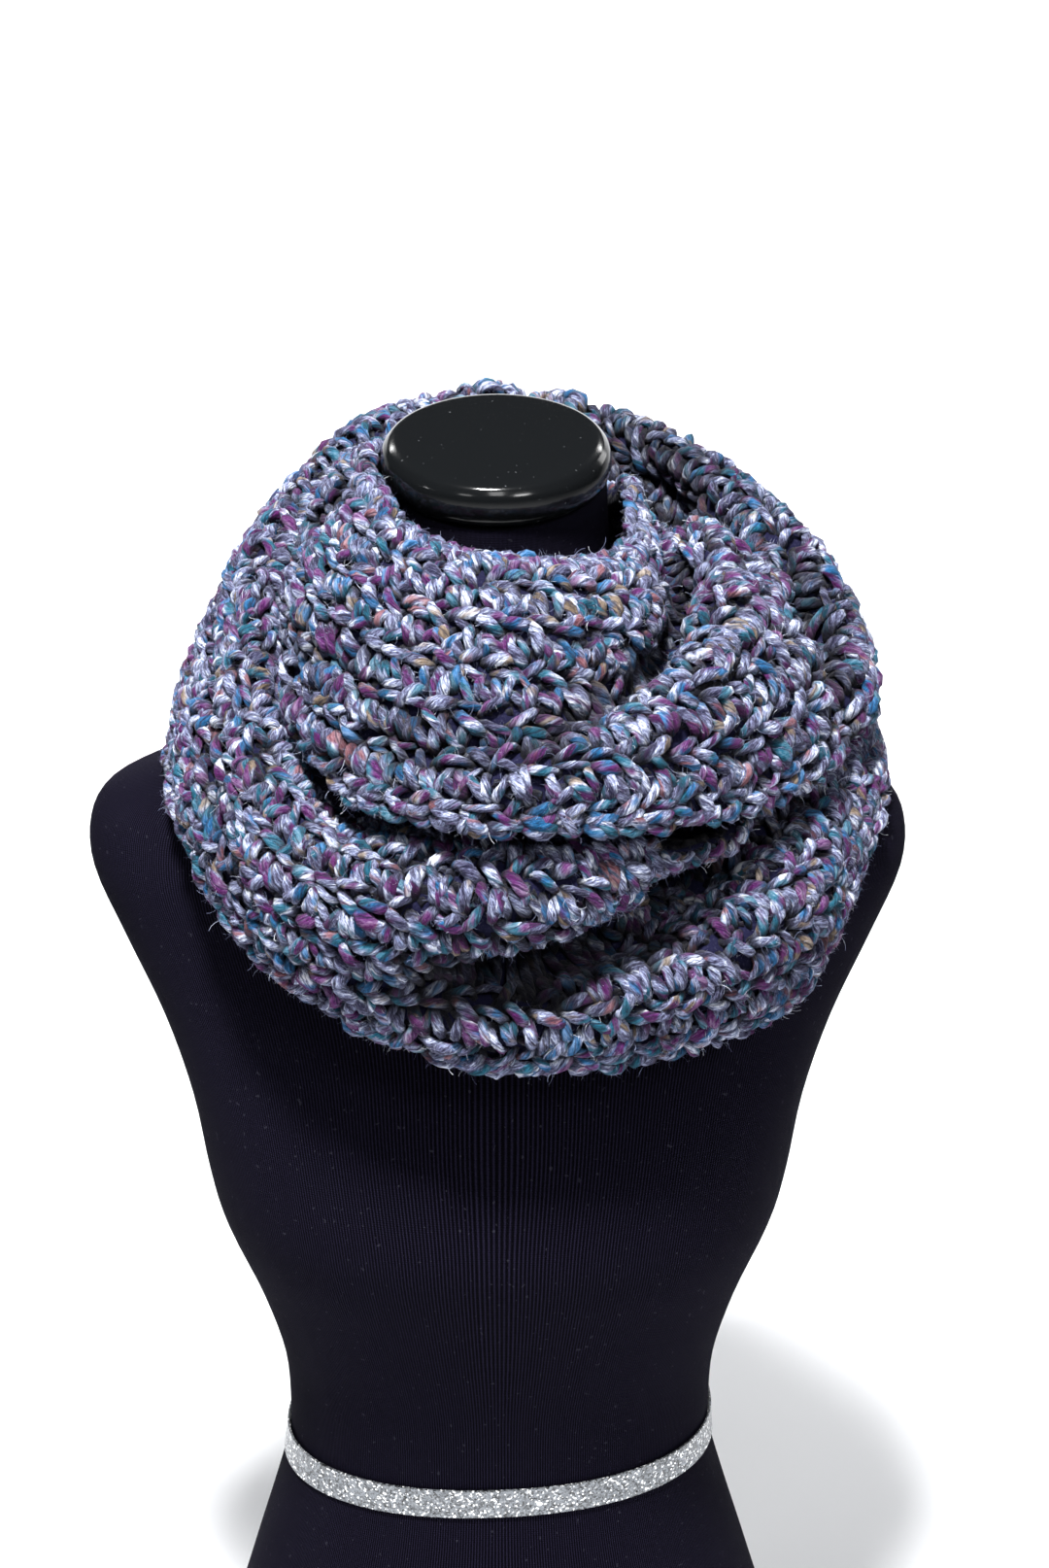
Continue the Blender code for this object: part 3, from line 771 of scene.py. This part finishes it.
def yarn_sweep():
    """Sweeps a round profile along each line of points: the yarn of the stitches."""
    group, tree, given = geometry_tree("yarn_sweep", radius="Float", sides="Int",
                                       lumpiness="Float", yarn="Material")
    curve = tree.add("GeometryNodeMeshToCurve", {"Mesh": given("Geometry")})
    ring = tree.add("GeometryNodeCurvePrimitiveCircle",
                    {"Resolution": given("sides"), "Radius": 1.0})
    place = tree.add("GeometryNodeInputPosition")
    ring = tree.store(ring, "round", place)
    spun = tree.noise(place, 170.0, 2.0)
    scale = given("radius") * tree.stored("thick") * (
        1.0 + given("lumpiness") * (spun - 0.5) * 2.0)
    mesh = tree.add("GeometryNodeCurveToMesh", {"Curve": curve, "Profile Curve": ring,
                                                "Scale": scale, "Fill Caps": True})
    uneven = tree.noise(place, 420.0, 1.0) - 0.5
    push = tree.add("ShaderNodeVectorMath", {0: tree.add("GeometryNodeInputNormal"),
                    "Scale": uneven * given("radius") * 1.1}, operation="SCALE")
    mesh = tree.add("GeometryNodeSetPosition", {"Geometry": mesh, "Offset": push})
    ring_place = tree.split(tree.stored("round", "FLOAT_VECTOR"))
    mesh = tree.store(mesh, "yarn",
                      tree.vector(tree.stored("run"), ring_place, ring_place.take(1)))
    for spare in ("round", "run", "thick"):
        mesh = tree.add("GeometryNodeRemoveAttribute", {"Geometry": mesh, "Name": spare})
    mesh = tree.add("GeometryNodeSetShadeSmooth", {"Geometry": mesh, "Shade Smooth": True})
    mesh = tree.add("GeometryNodeRealizeInstances", {"Geometry": mesh})
    mesh = tree.add("GeometryNodeSetMaterial", {"Geometry": mesh, "Material": given("yarn")})
    tree.add("NodeGroupOutput", {0: mesh})
    return group


def scattered(tree, given, fibre, density, draw, sizes, lean):
    """The fibre set on the yarn's outer side at random, leaning any way by up to lean."""
    seed = given("seed") + draw
    # The yarn's lift is lowered in folds by the painted shade, so folds get no fibres.
    outside = tree.stored("lift") > 2.0
    points = tree.add("GeometryNodeDistributePointsOnFaces", {"Mesh": given("Geometry"),
                      "Density": density * outside, "Seed": seed}, distribute_method="RANDOM")
    turn = tree.add("FunctionNodeRandomValue", {"Min": (-lean, -lean, -math.pi),
                    "Max": (lean, lean, math.pi), "Seed": seed}, data_type="FLOAT_VECTOR")
    turned = tree.add("FunctionNodeRotateRotation", {"Rotation": points.take("Rotation"),
                      "Rotate By": tree.add("FunctionNodeEulerToRotation", {0: turn})},
                      rotation_space="LOCAL")
    size = tree.add("FunctionNodeRandomValue", {2: sizes[0], 3: sizes[1], "Seed": seed}, 1,
                    data_type="FLOAT")
    return tree.add("GeometryNodeInstanceOnPoints", {"Points": points, "Instance": fibre,
                    "Rotation": turned, "Scale": size * given("length")})


def wool_fuzz():
    """Scatters tapered fibres over the yarn: short ones of one face, and a few long bent ones."""
    group, tree, given = geometry_tree("wool_fuzz", density="Float", length="Float",
                                       width="Float", long_share="Float", seed="Int",
                                       fibre="Material")
    slim = given("width") / given("length")
    bend = tree.add("GeometryNodeCurveQuadraticBezier", {"Resolution": 2,
                    "Start": (0.0, 0.0, -0.1), "Middle": (0.06, 0.0, 0.62),
                    "End": (0.46, 0.10, 0.86)})
    blade = tree.add("GeometryNodeCurvePrimitiveLine", {"Start": (0.0, -0.5, 0.0),
                                                        "End": (0.0, 0.5, 0.0)})
    strip = tree.add("GeometryNodeCurveToMesh", {"Curve": bend, "Profile Curve": blade,
                                                 "Scale": slim})
    barb = tree.add("GeometryNodeMeshCircle", {"Vertices": 3, "Radius": 0.6}, fill_type="NGON")
    barb = tree.add("GeometryNodeTransform", {"Geometry": barb, "Translation": (0.0, 0.0, 0.2),
                    "Rotation": (0.0, -math.pi / 2, 0.0),
                    "Scale": tree.vector(1.0, slim * 1.3, 1.0)})
    few, many = given("long_share"), 1.0 - given("long_share")
    fibres = tree.add("GeometryNodeJoinGeometry", {"Geometry": [
        scattered(tree, given, barb, given("density") * many, 0, (0.30, 0.85), 1.35),
        scattered(tree, given, strip, given("density") * few, 50, (0.45, 1.15), 1.1)]})
    fibres = tree.add("GeometryNodeRealizeInstances", {"Geometry": fibres})
    fibres = tree.add("GeometryNodeSetMaterial", {"Geometry": fibres,
                                                  "Material": given("fibre")})
    tree.add("NodeGroupOutput", {0: fibres})
    return group


# ---- the crochet
# Strands of a stitch as (stitches along, rows across, lift in mm, thickness): the slanting leg
# of a braid row, the upright knob of the row between two braids, and the back of a stitch.
BRAID = ((-0.16, -0.02, -3.0, 0.86), (0.08, 0.05, 0.9, 0.96), (0.36, 0.18, 3.4, 1.10),
         (0.68, 0.34, 3.5, 1.10), (0.95, 0.46, 0.9, 0.94), (1.12, 0.50, -3.0, 0.80))
KNOB = ((0.36, -0.62, -3.0, 0.84), (0.43, -0.38, 1.1, 0.98), (0.50, -0.12, 3.1, 1.10),
        (0.57, 0.16, 3.2, 1.10), (0.62, 0.40, 1.0, 0.98), (0.66, 0.62, -3.0, 0.84))
KNOBS = ((1, -0.36), (1, -0.02), (-1, -0.30))   # lean and shift of the knobs of one stitch
BACK_LEG = ((-0.24, -0.42, 0.2, 0.85), (0.20, -0.20, -2.6, 1.20), (0.75, 0.18, -2.6, 1.20),
            (1.20, 0.42, 0.2, 0.85))
# How far a strand strays, as the spread of its draws: length and breadth (shares), shift across
# (rows) and along (stitches), tilt, lift in millimetres, and thickness (share).
STRAY = (0.08, 0.16, 0.13, 0.10, 0.36, 0.6, 0.14)
STITCH_YARN = 0.045       # metres of yarn in one stitch
STRAND_YARN = 0.21        # share of it between the strands of one stitch
ROW_YARN = 7.3            # metres further on in the dye at which each row starts
PAINTED_FOLD_SHADE = 2.9          # millimetres by which painted shade lowers the lift of yarn at the bottom of a fold
PAINTED_SHADE_REACH = 4.0          # millimetres of fold depth over which that painted shade deepens
GROUND_DEPTH = 1.6        # millimetres from the middle surface in to the ground cloth's middle
PARTING = 0.1             # degrees that each stretch of ground cloth stops short of its end
GROUND_LINES = 29         # points of the ground cloth across the band
GROUND_STEP = 2.0         # degrees between its sections
LEG_POINTS, KNOB_POINTS, BACK_POINTS = 9, 8, 5
YARN_SIDES, BACK_SIDES = 7, 5    # sides of the yarn's round section
FIBRE_WIDTH = 0.0001
LONG_SHARE = 0.10         # share of the loose fibres that are long


def strand(shape, count):
    """The shape's row of places, smoothed to count points."""
    return through(np.arange(len(shape)), np.array(shape, float),
                   np.linspace(0, len(shape) - 1, count))


class Skein:
    """Collects lines of yarn for each stretch of the band.

    Every point of a line is (x, y, z, run, thickness, lift), the lift lowered in folds by painted
    shade."""

    def __init__(self, sizes, seed):
        self.sizes = sizes
        self.dice = np.random.default_rng(seed)
        self.lines = {name: [] for name, _, _ in STRETCHES}

    def lay(self, row, turns, across, shape, direction, mirror):
        """One strand at every stitch of a row; turns holds the row's even steps."""
        count = len(turns) - 1
        k = np.arange(count)[:, None]
        a, b, lift, thick = shape.T
        stray = self.dice.normal(0.0, 1.0, (count, len(STRAY))) * STRAY
        longer, broader, sideways, ahead, tilt, raised, thicker = np.hsplit(stray, len(STRAY))
        a = (a - 0.5) * (1 + longer) * direction
        b = b * mirror * (1 + broader)
        a, b = a + b * tilt + 0.5 + ahead, b - a * tilt + sideways
        steps = np.append(turns, turns[1:3] + LOOP)
        turn = np.interp(np.mod(k + a, count), np.arange(count + 3), steps)
        place = across + b / self.sizes.rows
        lift = lift + raised
        points = BAND.lay(turn, place, lift * MM)
        depth = BAND.pressed(turn, place)
        # Painted shade: yarn in a fold counts as lying deeper, which darkens its colour.
        lift_less_painted_shade = lift - PAINTED_FOLD_SHADE * (1 - np.exp(-depth / PAINTED_SHADE_REACH))
        thick = thick * (1 + thicker)
        start = row * ROW_YARN + k * STITCH_YARN
        start = start + STRAND_YARN * STITCH_YARN * self.dice.integers(0, 4)
        runs = start + run_along(points)
        home = np.mod(turns[:-1] + (turns[1:] - turns[:-1]) * 0.5, LOOP)
        for name, first, last in STRETCHES:
            here = (home >= first) & (home < last) | (home + LOOP < last)
            values = np.stack([runs[here], thick[here], lift_less_painted_shade[here]], axis=-1)
            self.lines[name] += list(np.concatenate([points[here], values], axis=-1))

    def wind(self, name, label, material, sides):
        """The lines of one stretch as a mesh of yarn."""
        lines = self.lines[name]
        edges, start = [], 0
        for line in lines:
            edges += [(start + i, start + i + 1) for i in range(len(line) - 1)]
            start += len(line)
        table = np.concatenate(lines)
        mesh = bpy.data.meshes.new(label)
        mesh.from_pydata(table[:, :3].tolist(), edges, [])
        for column, key in enumerate(("run", "thick", "lift"), 3):
            layer = mesh.attributes.new(key, "FLOAT", "POINT")
            layer.data.foreach_set("value", table[:, column].astype(np.float32))
        return settle(link(label, mesh), yarn_sweep, radius=self.sizes.yarn, sides=sides,
                      lumpiness=self.sizes.lumps, yarn=material)


def scarf_rows(sizes):
    """Place across of every row and whether it is a braid, the two edge braids included."""
    middle = [((row + 0.5) / sizes.rows, row % 2 == 1) for row in range(sizes.rows)]
    return [(0.0, True)] + middle + [(1.0, True)]


# ---- operators
class Maker:
    """What the operators share: each makes its own pieces in make."""

    def execute(self, context):
        self.make(context.scene)
        return {"FINISHED"}


class SCARF_OT_ground_cloth(Maker, bpy.types.Operator):
    """Lay the closed crochet of each stretch: a thin shell on the band's middle surface"""
    bl_idname = "scarf.ground_cloth"
    bl_label = "Ground Cloth"

    def make(self, scene):
        material = ground_wool(scene.yarn_colours)
        for name, first, last in STRETCHES:
            stand_for(self.shell(scene.scarf_sizes, name, first, last, material), name)

    def shell(self, sizes, name, first, last, material):
        sections = round((last - first) / GROUND_STEP) + 1
        turn = np.linspace(first + PARTING, last - PARTING, sections)[:, None]
        across = np.linspace(0.0, 1.0, GROUND_LINES)[None, :]
        centre = -GROUND_DEPTH * MM
        half = sizes.ground / 2
        outer = BAND.lay(turn, across, np.full(1, centre + half))
        inner = BAND.lay(turn, across, np.full(1, centre - half))
        edge = [BAND.lay(turn, across[:, [end]], np.full(1, centre))
                + push * BAND.at(turn, across[:, [end]])[2] * half
                for end, push in ((0, -1), (-1, 1))]
        rings = np.concatenate([edge[0], outer, edge[1], inner[:, ::-1]], axis=1)
        count = rings.shape[1]
        other = [2 * GROUND_LINES + 1 - i for i in range(GROUND_LINES)]
        cap = [(0, 1, other[0])]
        cap += [(1 + i, 2 + i, other[i + 1], other[i]) for i in range(GROUND_LINES - 1)]
        cap.append((GROUND_LINES, GROUND_LINES + 1, other[-1]))
        far = (len(rings) - 1) * count
        faces = grid_faces(len(rings), count)
        faces += [tuple(reversed(face)) for face in cap]
        faces += [tuple(far + i for i in face) for face in cap]
        obj = piece(name + "_ground", rings.reshape(-1, 3), faces, material)
        line = np.concatenate([[0.0], across[0], [1.0], across[0][::-1]]) * sizes.rows
        spread = np.stack([np.repeat(turn, count, 1), np.tile(line, (len(rings), 1))], -1)
        lay_map(obj, spread.reshape(-1, 2))
        return obj


class SCARF_OT_stitches(Maker, bpy.types.Operator):
    """Work the rows of stitches on the outside of the band, and their backs on its inside"""
    bl_idname = "scarf.stitches"
    bl_label = "Stitches"

    def make(self, scene):
        sizes = scene.scarf_sizes
        wool = tweed_wool(scene.yarn_colours)
        face, back = Skein(sizes, sizes.seed), Skein(sizes, sizes.seed + 1)
        leg, knob = strand(BRAID, LEG_POINTS), strand(KNOB, KNOB_POINTS)
        reverse = strand(BACK_LEG, BACK_POINTS)
        for row, (across, braided) in enumerate(scarf_rows(sizes)):
            turns = BAND.row_turns(across, sizes.stitches)
            for side in (-1, 1) if braided else ():
                face.lay(row, turns, across, leg, 1, side)
            if 0.0 < across < 1.0:
                back.lay(row, turns, across, reverse, 1, 1 if row % 2 else -1)
            for lean, shift in KNOBS if not braided else ():
                face.lay(row, turns, across, knob + (shift, 0, 0, 0), lean, 1)
        for name, _, _ in STRETCHES:
            for skein, label, sides in ((face, "_stitches", YARN_SIDES),
                                        (back, "_backs", BACK_SIDES)):
                obj = skein.wind(name, name + label, wool, sides)
                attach(obj, BODY)


class SCARF_OT_wool_fuzz(Maker, bpy.types.Operator):
    """Scatter the loose fibres that stand off the yarn"""
    bl_idname = "scarf.wool_fuzz"
    bl_label = "Wool Fuzz"

    def make(self, scene):
        sizes = scene.scarf_sizes
        for number, (name, _, _) in enumerate(STRETCHES):
            obj = link(name + "_fuzz", bpy.data.objects[name + "_stitches"].data.copy())
            settle(obj, wool_fuzz, density=sizes.fuzz, length=sizes.fibre, width=FIBRE_WIDTH,
                   long_share=LONG_SHARE, seed=sizes.seed + number,
                   fibre=loose_fibre(scene.yarn_colours))
            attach(obj, BODY)


class SCARF_OT_declare_cloth(Maker, bpy.types.Operator):
    """Work out the middle surface of each stretch; nothing further is done with it"""
    bl_idname = "scarf.declare_cloth"
    bl_label = "Declare Cloth"

    def make(self, scene):
        for name, first, last in STRETCHES:
            turn = np.arange(first, last + 0.1, 3.0)
            middle = BAND.at(turn[:, None], np.linspace(0, 1, 49)[None, :])[0]


class FORM_OT_jersey_torso(Maker, bpy.types.Operator):
    """Build the torso in its ribbed jersey cover"""
    bl_idname = "form.jersey_torso"
    bl_label = "Jersey Torso"

    def make(self, scene):
        sides = FORM_SIDES
        rings = np.array(torso_rings(sides, 4))
        rings = np.roll(rings, sides // 4 * 3, axis=1)             # the map's seam is behind
        rows = len(rings)
        lids = [tuple(reversed(range(sides))), tuple((rows - 1) * sides + i for i in range(sides))]
        obj = piece("jersey_torso", rings.reshape(-1, 3) * MM, grid_faces(rows, sides) + lids,
                    ribbed_jersey(scene.form_looks))
        for polygon in obj.data.polygons[-2:]:
            polygon.use_smooth = False
        ribs = round(HIP_ROUND / scene.form_looks.rib) / sides
        lift = run_along(rings[:, sides // 2]) * MM
        layer = obj.data.uv_layers.new(name="cloth")
        for polygon in obj.data.polygons[:-2]:
            row, side = divmod(polygon.index, sides)
            for corner, (i, j) in zip(polygon.loop_indices, ((0, 0), (1, 0), (1, 1), (0, 1))):
                layer.data[corner].uv = ((side + i) * ribs, lift[row + j])
        stand_for(obj, "form_torso")


class FORM_OT_neck_cap(Maker, bpy.types.Operator):
    """Turn the moulded cap and set it on the cut neck"""
    bl_idname = "form.neck_cap"
    bl_label = "Neck Cap"

    def make(self, scene):
        sides, lines = 96, 43
        profile = np.array(CAP_PROFILE[1:-1], float)
        outline = through(np.arange(len(profile)), profile,
                          np.linspace(0, len(profile) - 1, lines))
        angle = np.linspace(0, 2 * math.pi, sides, endpoint=False)
        rings = np.stack([outline[:, :1] * np.cos(angle), outline[:, :1] * np.sin(angle),
                          np.repeat(outline[:, 1:], sides, 1)], -1)[::-1]
        points = np.concatenate([rings.reshape(-1, 3), [(0, 0, CAP_PROFILE[-1][1]),
                                                        (0, 0, CAP_PROFILE[0][1])]])
        lean = math.radians(CAP_TILT)
        height, _, front, back, _, _ = TORSO[-1]
        place = (0.0, (back - front) / 2 - CAP_GAP * math.sin(lean),
                 height + CAP_GAP * math.cos(lean))
        points = points @ np.array(Matrix.Rotation(lean, 3, "X")).T + place
        faces = grid_faces(lines, sides)
        last, base, top = (lines - 1) * sides, len(points) - 2, len(points) - 1
        for i in range(sides):
            j = (i + 1) % sides
            faces += [(j, i, base), (last + i, last + j, top)]
        stand_for(piece("gloss_neck_cap", points * MM, faces, moulded_cap(scene.form_looks)),
                  "form_neck_cap")


class FORM_OT_waist_ribbon(Maker, bpy.types.Operator):
    """Tie the glitter ribbon round the waist"""
    bl_idname = "form.waist_ribbon"
    bl_label = "Waist Ribbon"

    def make(self, scene):
        sides = FORM_SIDES
        slope = math.tan(math.radians(TAPE_TILT))
        thick = TAPE_GAP + TAPE_THICK
        soft = thick - TAPE_ROUND
        corners = ((-0.5, TAPE_GAP), (-0.5, soft), (-0.48, thick), (-0.16, thick),
                   (0.16, thick), (0.48, thick), (0.5, soft), (0.5, TAPE_GAP))
        rings = []
        for side, grow in corners:
            for k in range(sides):
                level = TAPE_HEIGHT + side * TAPE_WIDTH
                level += slope * torso_ring(torso_at(level), sides, grow)[k][0]
                rings.append((*torso_ring(torso_at(level), sides, grow)[k][:2], level))
        faces = grid_faces(len(corners), sides)
        last = (len(corners) - 1) * sides
        faces += [(last + i, last + (i + 1) % sides, (i + 1) % sides, i) for i in range(sides)]
        stand_for(piece("glitter_waist_ribbon", np.array(rings) * MM, faces,
                        glitter_ribbon(scene.form_looks), False), "waist_tape")


# Softboxes: name, whose power and what share of it, place, aim, and size across and up.
SOFTBOXES = (
    ("key_softbox", "key", 1.0, (-0.14, -0.72, 2.15), (0, 0, 0.58), (0.26, 0.26)),
    ("left_softbox", "fill", 0.6, (-0.75, -1.45, 1.45), (0, 0, 0.56), (0.30, 0.30)),
    ("middle_softbox", "fill", 1.0, (0.02, -1.35, 1.65), (0, 0, 0.56), (0.30, 0.30)),
    ("right_softbox", "fill", 3.0, (0.62, -1.40, 1.45), (0.05, 0, 0.52), (0.34, 0.34)),
    ("side_softbox", "fill", 0.4, (-1.6, -0.7, 1.25), (0, 0, 0.66), (0.10, 0.16)),
    ("backdrop_left", "backdrop", 1.0, (-1.1, 1.55, 2.1), (-0.45, 2.8, 0.6), (0.9, 0.5)),
    ("backdrop_right", "backdrop", 1.0, (1.1, 1.55, 2.1), (0.45, 2.8, 0.6), (0.9, 0.5)),
    ("back_softbox", "fill", 1.2, (1.35, 1.15, 1.35), (0, 0, 0.56), (0.50, 0.50)),
)
ROOM_LIGHT = (0.93, 0.96, 1.0, 1.0)
SWEEP_FRONT, SWEEP_BACK, SWEEP_SIDE, SWEEP_TOP = -4.5, 2.2, 4.0, 1.75    # metres
SWEEP_BEND = 0.6          # radius of the sweep's bend
CAMERA_PLACE = (0.0125, -1.0041, 0.852)
CAMERA_DOWN = 17          # degrees that it looks down
FOCAL_LENGTH, PICTURE_HEIGHT = 2330.0, 1614.0    # pixels
SENSOR = 36.0             # millimetres, over the picture's height


class SCARF_OT_studio(Maker, bpy.types.Operator):
    """Set up the pale floor with its swept backdrop, the softboxes and the camera"""
    bl_idname = "scarf.studio"
    bl_label = "Studio"

    def make(self, scene):
        looks = scene.studio_looks
        self.paper(looks)
        for name, whose, share, place, aim, size in SOFTBOXES:
            self.softbox(name, getattr(looks, whose) * share, place, aim, size)
        world = bpy.data.worlds.new("studio_room")
        world.use_nodes = True
        back = world.node_tree.nodes["Background"].inputs
        back["Color"].default_value = ROOM_LIGHT
        back["Strength"].default_value = looks.room
        scene.world = world
        scene.view_settings.view_transform = "Standard"
        self.camera(scene)

    def paper(self, looks):
        """Flat floor that sweeps up into a backdrop behind."""
        line = [(SWEEP_FRONT, 0.0), (SWEEP_BACK, 0.0)]
        line += [(SWEEP_BACK + SWEEP_BEND * math.sin(t), SWEEP_BEND - SWEEP_BEND * math.cos(t))
                 for t in np.linspace(0, math.pi / 2, 17)[1:]]
        line.append((SWEEP_BACK + SWEEP_BEND, SWEEP_TOP))
        points = [(side, y, z - 0.0002) for y, z in line for side in (-SWEEP_SIDE, SWEEP_SIDE)]
        faces = [(2 * i, 2 * i + 1, 2 * i + 3, 2 * i + 2) for i in range(len(line) - 1)]
        piece("paper_sweep", points, faces, studio_paper(looks))

    def softbox(self, name, power, place, aim, size):
        light = bpy.data.lights.new(name, "AREA")
        light.shape, light.size, light.size_y = "RECTANGLE", *size
        light.energy = power
        way = Vector(aim) - Vector(place)
        link(name, light).matrix_world = (Matrix.Translation(place)
                                          @ way.to_track_quat("-Z", "Y").to_matrix().to_4x4())

    def camera(self, scene):
        """52 mm lens, a little higher than the form and looking down."""
        lens = bpy.data.cameras.new("view")
        lens.sensor_width, lens.lens = SENSOR, FOCAL_LENGTH / PICTURE_HEIGHT * SENSOR
        lens.clip_start, lens.clip_end = 0.05, 50.0
        obj = link("view", lens)
        obj.location = CAMERA_PLACE
        obj.rotation_euler = (math.radians(90 - CAMERA_DOWN), 0.0, 0.0)
        scene.camera = obj


class SCARF_PT_panel(bpy.types.Panel):
    """Sizes, colours and the pieces in the order in which they are made"""
    bl_label = "Infinity Scarf"
    bl_idname = "SCARF_PT_panel"
    bl_space_type = "VIEW_3D"
    bl_region_type = "UI"
    bl_category = "Scarf"

    def draw(self, context):
        for holder, kind in SETTINGS.items():
            box = self.layout.box()
            box.label(text=kind.__doc__)
            for key in kind.__annotations__:
                box.prop(getattr(context.scene, holder), key)
        for made in MAKERS:
            self.layout.operator(made.bl_idname)


SETTINGS = {"scarf_sizes": ScarfSizes, "yarn_colours": YarnColours, "form_looks": FormLooks,
            "studio_looks": StudioLooks}
MAKERS = (FORM_OT_jersey_torso, FORM_OT_neck_cap, FORM_OT_waist_ribbon, SCARF_OT_ground_cloth,
          SCARF_OT_stitches, SCARF_OT_wool_fuzz, SCARF_OT_declare_cloth, SCARF_OT_studio)
CLASSES = (*SETTINGS.values(), *MAKERS, SCARF_PT_panel)


def register():
    for made in CLASSES:
        bpy.utils.register_class(made)
    for name, group in SETTINGS.items():
        setattr(bpy.types.Scene, name, PointerProperty(type=group))


def unregister():
    for name in SETTINGS:
        delattr(bpy.types.Scene, name)
    for made in reversed(CLASSES):
        bpy.utils.unregister_class(made)


def main():
    register()
    for made in MAKERS:
        family, action = made.bl_idname.split(".")
        getattr(getattr(bpy.ops, family), action)()


if __name__ == "__main__":
    main()
